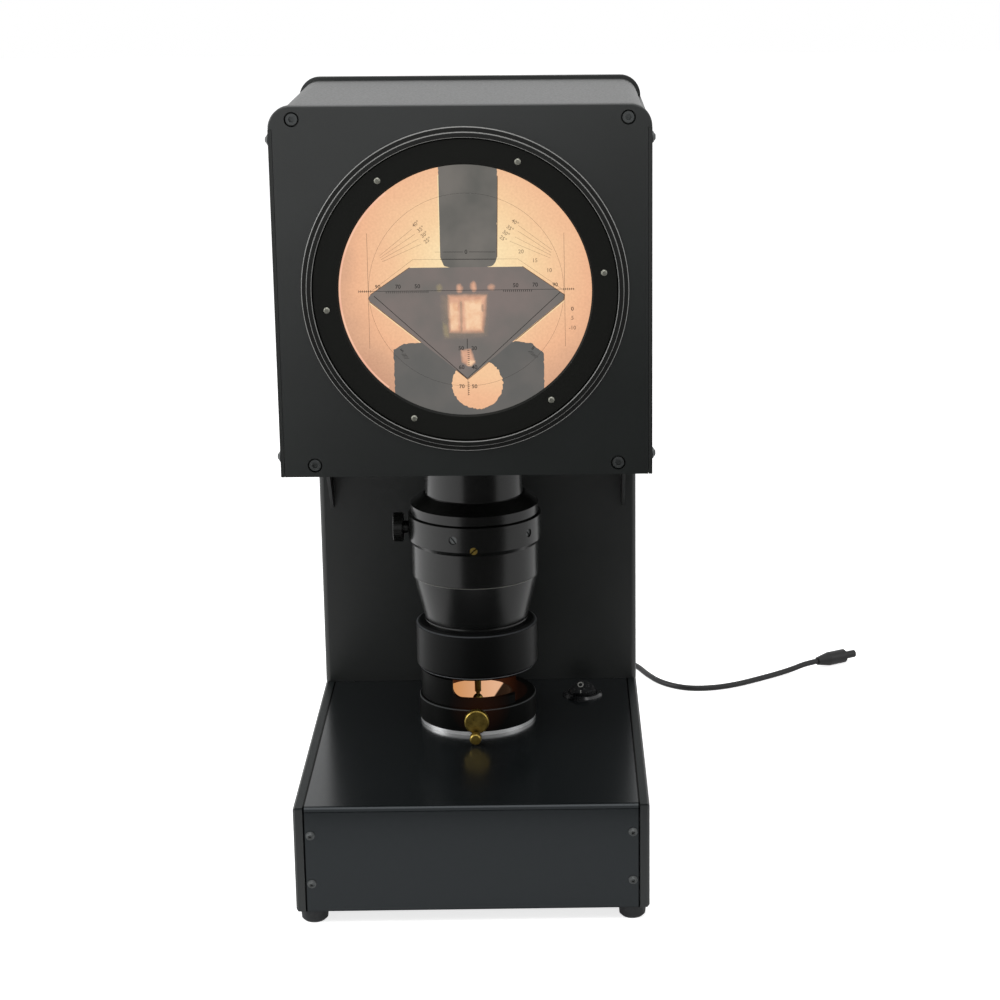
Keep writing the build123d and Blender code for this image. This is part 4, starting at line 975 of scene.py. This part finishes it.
# %% Patches in the stone
# Milky, pink, warm and greenish light, each let through more or less.
haze = soft_light("haze_round_the_light", "#8E8070", "#A08A78")
glow_pink = soft_light("light_through_stone", "#D9A386", "#EBB596")
glow_warm = soft_light("bright_light_through_stone", "#F1BF98", "#FBD6B0")
glow_green = soft_light("greenish_light_through_stone", "#A39872", "#B5A27C")
patches = [
    ("haze", 1.0, 3.4, 5, haze, 0.5, [(-12.6, -3), (11.6, -1.5), (10.5, -24), (-11.5, -25.4)]),
    ("light", 1.0, 2.2, 6, glow_pink, 0.85, [(-9.1, -2.5), (11.0, -2.5), (9.1, -22.3), (-8.6, -22.2)]),
    ("light_left", 0.8, 1.8, 7, glow_warm, 0.75, [(-8.6, -7), (-4.4, -6.4), (-4.2, -21), (-8.0, -21)]),
    ("light_right", 0.8, 2.0, 7, glow_warm, 0.85, [(-0.4, -6), (8.4, -5), (8.2, -21), (0.2, -20.6)]),
    ("light_dip", 0.8, 1.1, 8, haze, 0.55, [(-3.2, -5.5), (-1.8, -5.5), (-2.0, -22), (-3.0, -22)]),
    ("light_notch", 0.6, 0.9, 8, haze, 0.6, [(8.5, -7.2), (9.7, -7.4), (9.5, -11.4), (8.6, -11.0)]),
    ("light_low", 0.8, 2.0, 6, glow_green, 0.4, [(-12.6, -17), (-10.4, -19), (-9.4, -25.0), (-11.6, -24.2)]),
    (
        "light_culet", 0.6, 1.5, 6, glow_pink, 0.85,
        [(-2.9, -32.6), (2.2, -32.0), (4.4, -39.2), (1.2, -41), (-2.4, -38.6)],
    ),
    ("light_tip", 0.6, 1.2, 7, glow_warm, 0.8, [(0.6, -37.8), (4.4, -38.4), (2.4, -41), (0.2, -40.6)]),
]
for name, step, margin, layer, material, full, corners in patches:
    feathered("stone_" + name, ragged(corners, step, 0.25, 13), margin, layer, material, full)
spots = [
    ("a", -14.0, 1.8, 1.2, 1.6, glow_green, 0.5),
    ("b", -3.2, 1.4, 1.2, 2.1, glow_pink, 0.8),
    ("c", 4.4, 2.4, 1.2, 2.3, glow_pink, 0.85),
    ("d", 14.0, 2.0, 1.3, 1.3, glow_pink, 0.65),
]
for letter, x, z, half_width, half_height, material, full in spots:
    oval = [(x + (px - x) * half_width, z + (pz - z) * half_height) for px, pz in arc(x, z, 1.0, 0, 345, 24)]
    uneven_oval = ragged(oval, 0.4, 0.45, x)
    feathered("stone_light_spot_" + letter, uneven_oval, 1.7, 6, material, full)

# %% [markdown]
# ## The scale on the screen
# The scale is printed on the glass in lines about a quarter of a millimetre wide: a circle, a level
# line with ticks, two fans of angles, and an outline of an ideal stone. Each line is a thin ribbon.
# The ink is translucent, and thinnest in the fine lines, so there are three inks. The whole scale is
# turned a quarter of a degree, as the ring stands in the photograph.

# %% Printed lines
scale_turn = math.radians(0.23)
thin_line = 0.17
plain_line = 0.24
bold_line = 0.36
# Near black, dark brown and brown: the finer the print, the more of the warm light shows through.
print_black = new_finish("printed_screen_ink", "#15110E", Roughness=0.5, Alpha=0.93)
print_fine = new_finish("fine_screen_ink", "#241A14", Roughness=0.5, Alpha=0.62)
print_faint = new_finish("faint_screen_ink", "#3A281C", Roughness=0.5, Alpha=0.66)


def turned_with_scale(x, z):
    """A point of the scale, with the whole scale turned slightly as it is in its ring."""
    return (
        x * math.cos(scale_turn) - z * math.sin(scale_turn),
        x * math.sin(scale_turn) + z * math.cos(scale_turn),
    )


def on_scale(quads):
    """The same quads turned with the scale."""
    return [[turned_with_scale(x, z) for x, z in quad] for quad in quads]


left_fan = [
    ((-45.7, 19.7), (-27.9, 33.9)),
    ((-45.4, 18.6), (-26.2, 31.3)),
    ((-44.8, 17.7), (-24.4, 28.6)),
    ((-44.1, 16.6), (-23.1, 25.8)),
]
right_fan = [
    ((47.0, 21.8), (29.2, 35.2)),
    ((46.5, 20.4), (28.7, 32.3)),
    ((46.5, 18.9), (27.3, 29.0)),
    ((46.0, 17.4), (24.4, 26.8)),
]
fine_lines = ribbon(arc(0.5, 0.4, 52.5, 0, 360, 121), thin_line)
fine_lines += ribbons([[(-27.9, 17.5), (-50.8, 0.4)], [(28.4, 17.3), (51.9, 0.6)]], thin_line)
fine_lines += ribbons([[(-52.1, 31.9), (-52.4, -30.9)], [(53.4, 31.0), (53.5, -30.9)]], plain_line)
fine_lines += ribbons([[(-27.9, 17.5), (28.4, 17.2)], [(-15.8, 21.4), (-13.1, 21.4)]], thin_line)
fine_lines += ribbons(left_fan + right_fan, thin_line)
bold_lines = ribbon([(-57.6, 0.5), (58.8, 0.5)], plain_line)
bold_lines += ribbons([[(-11.7, 21.4), (-0.9, 21.3)], [(2.5, 21.3), (16.5, 21.1)]], plain_line)
bold_lines += ribbon([(-13.0, 17.5), (16.7, 17.2)], bold_line)
bold_lines += ribbon([(-49.3, -2.0), (0.0, -48.0), (51.1, -1.1)], bold_line)
bold_lines += ribbon([(0.4, -26.0), (0.3, -31.4)], bold_line)
bold_lines += ribbon([(0.3, -49.0), (0.2, -57.4)], plain_line)
flat_sheet("scale_lines_fine", on_scale(fine_lines), 8, print_fine, "screen_ring")
flat_sheet("scale_lines", on_scale(bold_lines), 9, print_black, "screen_ring")

# %% [markdown]
# ## Repeats with Geometry Nodes
# One tree repeats a bar along a line, for the ticks of the scale, and one repeats a rib round a ring,
# for the knurls of the knobs. Their sizes are named inputs. The result is realised and turned into a
# plain mesh, because an export keeps meshes and drops instances.

# %% Row and ring trees
def new_tree(name, sizes):
    """A Geometry Nodes tree with its ends, a named input for each size and one for the material."""
    tree = bpy.data.node_groups.new(name, "GeometryNodeTree")
    tree.interface.new_socket(name="Geometry", in_out="INPUT", socket_type="NodeSocketGeometry")
    tree.interface.new_socket(name="Geometry", in_out="OUTPUT", socket_type="NodeSocketGeometry")
    for size, (kind, value) in sizes.items():
        socket = tree.interface.new_socket(name=size, in_out="INPUT", socket_type=kind)
        socket.default_value = value
    tree.interface.new_socket(name="Material", in_out="INPUT", socket_type="NodeSocketMaterial")
    return tree, add_node(tree, "NodeGroupInput")


def finish_tree(tree, ends, points, shape):
    """Sets one shape on each point, makes plain mesh of it and gives it the material."""
    placed = add_node(tree, "GeometryNodeInstanceOnPoints", {"Points": points, "Instance": shape})
    plain = add_node(tree, "GeometryNodeRealizeInstances", {"Geometry": placed.outputs["Instances"]})
    coloured = add_node(
        tree,
        "GeometryNodeSetMaterial",
        {"Geometry": plain.outputs["Geometry"], "Material": ends.outputs["Material"]},
    )
    add_node(tree, "NodeGroupOutput", {"Geometry": coloured.outputs["Geometry"]})


def row_tree():
    """Boxes in a straight row from one point to another."""
    sizes = {
        "Start": ("NodeSocketVector", (0, 0, 0)),
        "Step": ("NodeSocketVector", (MM, 0, 0)),
        "Count": ("NodeSocketInt", 5),
        "Bar": ("NodeSocketVector", (MM, MM, MM)),
    }
    tree, ends = new_tree("row_of_bars", sizes)
    given = ends.outputs
    row = {"Count": given["Count"], "Start Location": given["Start"], "Offset": given["Step"]}
    line = add_node(tree, "GeometryNodeMeshLine", row)
    bar = add_node(tree, "GeometryNodeMeshCube", {"Size": given["Bar"]})
    finish_tree(tree, ends, line.outputs["Mesh"], bar.outputs["Mesh"])
    return tree


def ring_tree():
    """Rounded bars set round the Z axis of the piece."""
    sizes = {
        "Count": ("NodeSocketInt", 24),
        "Radius": ("NodeSocketFloat", 5 * MM),
        "Rib Radius": ("NodeSocketFloat", 0.3 * MM),
        "Rib Length": ("NodeSocketFloat", 4 * MM),
    }
    tree, ends = new_tree("ring_of_ribs", sizes)
    given = ends.outputs
    circle = add_node(tree, "GeometryNodeMeshCircle", {"Vertices": given["Count"], "Radius": given["Radius"]})
    rib_form = {"Vertices": 8, "Radius": given["Rib Radius"], "Depth": given["Rib Length"]}
    rib = add_node(tree, "GeometryNodeMeshCylinder", rib_form)
    finish_tree(tree, ends, circle.outputs["Mesh"], rib.outputs["Mesh"])
    return tree


def grown(tree, name, values, place):
    """Runs a tree with these input values and returns the result as a plain mesh, set in place."""
    seed_mesh = bpy.data.meshes.new(name)
    holder = bpy.data.objects.new(name, seed_mesh)
    bpy.context.scene.collection.objects.link(holder)
    modifier = holder.modifiers.new("tree", "NODES")
    modifier.node_group = tree
    for item in tree.interface.items_tree:
        if item.in_out == "INPUT" and item.name in values:
            modifier[item.identifier] = values[item.name]
    graph = bpy.context.evaluated_depsgraph_get()
    mesh = bpy.data.meshes.new_from_object(holder.evaluated_get(graph), depsgraph=graph)
    mesh.name = name
    holder.modifiers.remove(modifier)
    bpy.data.objects.remove(holder)
    mesh.transform(place)
    print(name, "faces:", len(mesh.polygons))
    return mesh


row_of_bars = row_tree()
ring_of_ribs = ring_tree()

# %% [markdown]
# ## Ticks
# The ticks repeat at an even pitch, so each row is one run of the tree: where it starts, the step
# from tick to tick, how many there are, and the width and height of one.

# %% Rows of ticks
tick_pitch = 1.07
tick_thin = 0.3
tick_deep = 0.02


def tick_row(name, x, z, step_x, step_z, count, width, height, ink):
    """Ticks in a row from a point of the scale, at an even step."""
    values = {
        "Start": on_screen(x, z, 9),
        "Step": at(step_x, 0, step_z),
        "Count": count,
        "Bar": (width * MM, tick_deep * MM, height * MM),
        "Material": ink,
    }
    spin = Matrix.Translation(screen_centre) @ Matrix.Rotation(-scale_turn, 4, "Y")
    mesh = grown(row_of_bars, name, values, spin @ Matrix.Translation(-screen_centre))
    new_piece(name, mesh, ink, "screen_ring")


tick_row("ticks_left", -42.6, -0.1, tick_pitch, 0, 22, tick_thin, 1.1, print_black)
tick_row("ticks_right", 20.6, -0.1, tick_pitch, 0, 15, tick_thin, 1.1, print_black)
tick_row("ticks_far_left", -57.4, 0.5, tick_pitch, 0, 7, tick_thin, 1.3, print_fine)
tick_row("ticks_far_right", 52.9, 0.5, tick_pitch, 0, 6, tick_thin, 1.3, print_fine)
tick_row("ticks_upper_axis", 0.9, -32.6, 0, -tick_pitch, 8, 1.1, tick_thin, print_black)
tick_row("ticks_lower_axis", 0.6, -50.4, 0, -tick_pitch, 7, 1.0, tick_thin, print_fine)
tick_row("ticks_low_left", -34.1, -34.1, 0.45, -0.75, 4, 2.6, 0.2, print_black)
tick_row("ticks_low_right", 34.4, -33.6, 0.75, -0.75, 5, 2.4, 0.2, print_black)

# %% [markdown]
# ## Figures
# The figures are Blender text turned into meshes. A text object faces up, so its mesh is stood up to
# face the front before it is moved to its place. The figures join into two pieces, one for each ink.

# %% Figures on the screen
figure_weight = 0.045


def figure_mesh(text, x, z, size, turn):
    """The mesh of one figure on the screen, centred on a point, turned by some degrees."""
    words = bpy.data.curves.new("figure", "FONT")
    words.body = text
    words.size = size * MM
    words.align_x = "CENTER"
    words.align_y = "CENTER"
    words.resolution_u = 3
    words.offset = figure_weight * MM
    holder = bpy.data.objects.new("figure", words)
    bpy.context.scene.collection.objects.link(holder)
    graph = bpy.context.evaluated_depsgraph_get()
    mesh = bpy.data.meshes.new_from_object(holder.evaluated_get(graph), depsgraph=graph)
    bpy.data.objects.remove(holder)
    place = on_screen(*turned_with_scale(x, z), 10)
    stand_up = Matrix.Rotation(math.radians(90), 4, "X")
    spin = Matrix.Rotation(-math.radians(turn) - scale_turn, 4, "Y")
    mesh.transform(Matrix.Translation(place) @ spin @ stand_up)
    return mesh


figures = [
    ("0", 0.8, 21.3, 3.1, 0),
    ("90", -47.1, 2.9, 2.9, 0),
    ("70", -36.2, 2.8, 3.1, 0),
    ("50", -25.8, 2.9, 3.1, 0),
    ("50", 27.1, 2.8, 3.1, 0),
    ("70", 37.6, 3.0, 3.1, 0),
    ("90", 48.4, 2.9, 2.9, 0),
    ("20", 30.3, 21.1, 3.0, 0),
    ("15", 37.7, 16.2, 3.0, 0),
    ("10", 45.3, 10.8, 3.0, 0),
    ("0", 57.5, -10.4, 3.0, 0),
    ("5", 57.5, -15.4, 3.0, 0),
    ("-10", 57.4, -20.8, 3.0, 0),
    ("50", -3.0, -31.3, 3.1, 0),
    ("30", 4.0, -31.4, 3.1, 0),
    ("60", -3.0, -41.8, 3.1, 0),
    ("40", 4.0, -41.9, 3.1, 0),
    ("70", -3.1, -52.4, 3.0, 0),
    ("50", 3.8, -52.5, 3.0, 0),
    ("5", -35.0, -32.1, 2.7, 35),
    ("5", 35.8, -31.7, 2.7, -40),
]
left_labels = [("40°", -25.7, 36.7), ("35°", -23.1, 33.8), ("30°", -21.3, 30.9), ("25°", -19.6, 27.8)]
right_labels = [("40°", 27.4, 36.9), ("35°", 24.6, 33.7), ("30°", 22.4, 31.0), ("25°", 20.8, 28.2)]
labels = [(text, x, z, 2.9, 36) for text, x, z in left_labels]
labels += [(text, x, z, 2.9, -38) for text, x, z in right_labels]


def figure_sheet(name, rows, ink):
    """One piece with all the figures of a list."""
    joined = bmesh.new()
    for text, x, z, size, turn in rows:
        joined.from_mesh(figure_mesh(text, x, z, size, turn))
    piece_of(name, joined, ink, "screen_ring")


on_light = {"20", "15", "10", "5", "-10"}
plain_figures = [row for row in figures if row[0] not in on_light or row[4] != 0]
light_figures = [row for row in figures if row not in plain_figures]
figure_sheet("scale_figures", plain_figures, print_black)
figure_sheet("scale_figures_on_light", light_figures + labels, print_faint)
print("figures:", len(figures) + len(labels))

# %% [markdown]
# ## Knurls
# Both brass knobs are straight-knurled so that fingers can grip them. A roller with teeth presses the
# ribs into the rim. They are a small repeat, so the ring tree above makes them.

# %% Knurls of the knobs
knurl_sunk = 0.05
knurl_start = 0.7


def knurl(name, node, body, count, length):
    """Ribs round the rim of a knob that faces the front."""
    low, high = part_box(node)
    radius = (high.x - low.x) / 2
    centre_x = (high.x + low.x) / 2
    centre_z = low.z + radius
    values = {
        "Count": count,
        "Radius": radius - knurl_sunk * MM,
        "Rib Radius": radius * 2.0 / count,
        "Rib Length": length * MM,
        "Material": aged_brass,
    }
    place = Matrix.Translation((centre_x, low.y + (knurl_start + length / 2) * MM, centre_z))
    mesh = grown(ring_of_ribs, name, values, place @ Matrix.Rotation(math.radians(90), 4, "X"))
    new_piece(name, mesh, aged_brass, body)


knurl("holder_knurl", "stone_holder", "stone_holder", 48, 3.6)
knurl("lock_knurl", "lock_knob", "lock_knob", 30, 4.1)

# %% [markdown]
# ## Marks on the switch
# The rocker carries a ring for off and a bar for on, printed in white. They lie on its front slope, so
# each point is measured across and up that slope, a thirtieth of a millimetre above the plastic.

# %% Switch marks
mark_slope = math.radians(45.2)
mark_lift = 0.03
mark_middle = Vector((63.2, 50.3, 75.52))
up_slope = Vector((0, math.sin(mark_slope), math.cos(mark_slope)))
off_slope = Vector((0, -up_slope.z, up_slope.y))
ring_outer = 1.9
ring_inner = 1.2
ring_points = 32
bar_half = 0.35
bar_foot = -6.2
bar_top = -3.8
# Flat white that reads grey, since the print is thin over black.
mark_white = new_finish("pad_printed_white_ink", "#8E8E8A", Roughness=0.5)
mark_form = bmesh.new()


def on_rocker(across, up):
    """A corner of the marks, in millimetres across and up the slope from the middle of the ring."""
    place = mark_middle + Vector((across, 0, 0)) + up * up_slope + mark_lift * off_slope
    return mark_form.verts.new(at(*place))


def round_mark(radius):
    """Corners round the ring mark."""
    last = 360 * (1 - 1 / ring_points)
    return [on_rocker(x, z) for x, z in arc(0, 0, radius, 0, last, ring_points)]


ring_out = round_mark(ring_outer)
ring_in = round_mark(ring_inner)
for index in range(ring_points):
    mark_form.faces.new([ring_out[index - 1], ring_out[index], ring_in[index], ring_in[index - 1]])
bar_corners = [(-bar_half, bar_foot), (bar_half, bar_foot), (bar_half, bar_top), (-bar_half, bar_top)]
mark_form.faces.new([on_rocker(x, z) for x, z in bar_corners])
face_front(mark_form)
piece_of("switch_marks", mark_form, mark_white, "switch_rocker")

# %% [markdown]
# ## The lamp's light
# The lamp glows through the condenser and fills the bore of the stage with warm light, which shows in
# the window. A lamp in a narrow bore would take long to settle, so the brass liner of the bore glows
# itself. It is paler to the right, and the glow ends on a slanted line, where the holder's plate stands
# in the light's way.

# %% Lit liner
warm_left = -18
warm_right = 10
shade_slant = (1, 0, -0.565)
shade_start = -33.2
light_start = -34.0
shade_level = 0.02

# A warm field behind the stone's post, that turns dark across a slanted edge.
liner_glow = new_finish("lamp_lit_brass_liner", "#241208", Roughness=0.6, Specular_IOR_Level=0.1)
liner_tree = liner_glow.node_tree
liner_warmth = add_node(
    liner_tree,
    "ShaderNodeMapRange",
    {"Value": place_along(liner_tree, (1, 0, 0)), "From Min": warm_left * MM, "From Max": warm_right * MM},
)
liner_ramp = add_node(liner_tree, "ShaderNodeValToRGB", {"Fac": liner_warmth.outputs["Result"]})
liner_ramp.color_ramp.elements[0].color = linear("#C98A52")
liner_ramp.color_ramp.elements[1].color = linear("#E2B08C")
lit_part = add_node(
    liner_tree,
    "ShaderNodeMapRange",
    {"Value": place_along(liner_tree, shade_slant),
     "From Min": light_start * MM, "From Max": shade_start * MM, "To Min": 1.0, "To Max": shade_level},
)
liner_inputs = shader_of(liner_glow).inputs
liner_tree.links.new(liner_ramp.outputs["Color"], liner_inputs["Emission Color"])
liner_tree.links.new(lit_part.outputs["Result"], liner_inputs["Emission Strength"])
dress(liner_glow, "stage_liner")

# %% [markdown]
# ## Floor, world and lamps
# The object is dark and stands on white, so the background must be white without flooding the object
# with light. Light Path tells what kind of ray asks. The camera sees a glowing white floor. Reflections
# see it too, but greyer near the object and on its right, as the room of the photograph was. The light
# that falls on the object comes from a few large soft lamps.

# %% Floor
seen_glow = 0.76
mirrored_near, mirrored_far = 0.36, 0.72
near_object, far_away = 0.3, 2.0
mirrored_left, mirrored_right = 1.5, 0.55
side_reach = 0.8

floor_mesh = bpy.data.meshes.new("floor")
floor_form = bmesh.new()
bmesh.ops.create_grid(floor_form, x_segments=1, y_segments=1, size=6.0)
floor_form.to_mesh(floor_mesh)
floor_form.free()
floor = bpy.data.objects.new("floor", floor_mesh)
bpy.context.scene.collection.objects.link(floor)
# A pale matt ground that keeps only a faint trace of the shadow.
floor_white = new_finish(
    "pale_floor", "#F2F2F2", Roughness=0.7, Specular_IOR_Level=0.2, Emission_Color=(1, 1, 1, 1)
)
floor_tree = floor_white.node_tree
rays = add_node(floor_tree, "ShaderNodeLightPath")
fill = add_node(
    floor_tree,
    "ShaderNodeMapRange",
    {"Value": distance_from(floor_tree, (0, 0, 0), (1, 1, 1)), "From Min": near_object, "From Max": far_away,
     "To Min": mirrored_near, "To Max": mirrored_far},
)
side = add_node(
    floor_tree,
    "ShaderNodeMapRange",
    {"Value": place_along(floor_tree, (1, 0, 0)), "From Min": -side_reach, "From Max": side_reach,
     "To Min": mirrored_left, "To Max": mirrored_right},
)
mirrored = add_node(
    floor_tree,
    "ShaderNodeMath",
    {0: fill.outputs["Result"], 1: side.outputs["Result"]},
    operation="MULTIPLY",
)
in_gloss = add_node(
    floor_tree,
    "ShaderNodeMath",
    {0: mirrored.outputs["Value"], 1: rays.outputs["Is Glossy Ray"]},
    operation="MULTIPLY",
)
in_view = add_node(
    floor_tree,
    "ShaderNodeMath",
    {0: rays.outputs["Is Camera Ray"], 1: seen_glow},
    operation="MULTIPLY",
)
glow = add_node(
    floor_tree,
    "ShaderNodeMath",
    {0: in_gloss.outputs["Value"], 1: in_view.outputs["Value"]},
    operation="MAXIMUM",
)
floor_tree.links.new(glow.outputs["Value"], shader_of(floor_white).inputs["Emission Strength"])
floor_mesh.materials.append(floor_white)

# %% World
light_on_object = 0.35

world = bpy.data.worlds.new("studio")
bpy.context.scene.world = world
world.use_nodes = True
sky_tree = world.node_tree
sky = sky_tree.nodes["Background"]
sky.inputs["Color"].default_value = (1, 1, 1, 1)
sky_rays = add_node(sky_tree, "ShaderNodeLightPath")
seen_direct = add_node(
    sky_tree,
    "ShaderNodeMath",
    {0: sky_rays.outputs["Is Camera Ray"], 1: sky_rays.outputs["Is Glossy Ray"]},
    operation="MAXIMUM",
)
seen_any = add_node(
    sky_tree,
    "ShaderNodeMath",
    {0: seen_direct.outputs["Value"], 1: sky_rays.outputs["Is Transmission Ray"]},
    operation="MAXIMUM",
)
level = add_node(
    sky_tree,
    "ShaderNodeMapRange",
    {"Value": seen_any.outputs["Value"], "To Min": light_on_object, "To Max": 1.0},
)
sky_tree.links.new(level.outputs["Result"], sky.inputs["Strength"])

# %% [markdown]
# A black object only shows its form through what it reflects. In the photograph the round pieces are
# black in the middle with a pale band on each side, so the room was dark in front and bright beside.
# Photographers do that with a black card, called a flag. This one lies on the floor in front of the
# object and only reflections see it, so the floor stays white from every side.

# %% Flag
flag_near = 0.3
flag_far = 1.9
flag_left = 0.45
flag_right = 1.4
flag_lift = 0.002
flag_form = bmesh.new()
flag_corners = [
    (-flag_near * flag_left, -flag_near),
    (-flag_far * flag_left, -flag_far),
    (flag_far * flag_right, -flag_far),
    (flag_near * flag_right, -flag_near),
]
flag_form.faces.new([flag_form.verts.new((x, y, flag_lift)) for x, y in flag_corners])
flag_mesh = bpy.data.meshes.new("flag")
flag_form.to_mesh(flag_mesh)
flag_form.free()
# As black as a surface gets, so that nothing comes back from it.
flag_black = new_finish("black_card", "#040404", Roughness=1.0, Specular_IOR_Level=0.0)
flag_mesh.materials.append(flag_black)
flag = bpy.data.objects.new("flag", flag_mesh)
bpy.context.scene.collection.objects.link(flag)
flag.visible_camera = False
flag.visible_diffuse = False
flag.visible_shadow = False
flag.visible_transmission = False

# %% [markdown]
# The lamp on the left is the strongest of the two at the sides, and the large one above lights the
# tops. Large lamps have soft shadows, as a room with pale walls gives.

# %% Lamps
def soft_lamp(name, place, target, width, height, power):
    """A large flat lamp that faces a point."""
    data = bpy.data.lights.new(name, "AREA")
    data.shape = "RECTANGLE"
    data.size = width
    data.size_y = height
    data.energy = power
    lamp = bpy.data.objects.new(name, data)
    lamp.location = place
    lamp.rotation_euler = (Vector(target) - Vector(place)).to_track_quat("-Z", "Y").to_euler()
    bpy.context.scene.collection.objects.link(lamp)


aim = (0, 0, 0.25)
soft_lamp("lamp_left", (-1.4, -0.1, 0.85), aim, 0.9, 0.9, 13)
soft_lamp("lamp_right", (1.5, -0.35, 0.85), aim, 0.9, 0.9, 4)
soft_lamp("lamp_top", (0, -0.5, 1.7), aim, 1.4, 1.4, 14)

# %% [markdown]
# ## Finish
# The view is set to Standard, so a colour that was read off the photograph comes out as it went in.

# %% Finish
bpy.context.scene.view_settings.view_transform = "Standard"
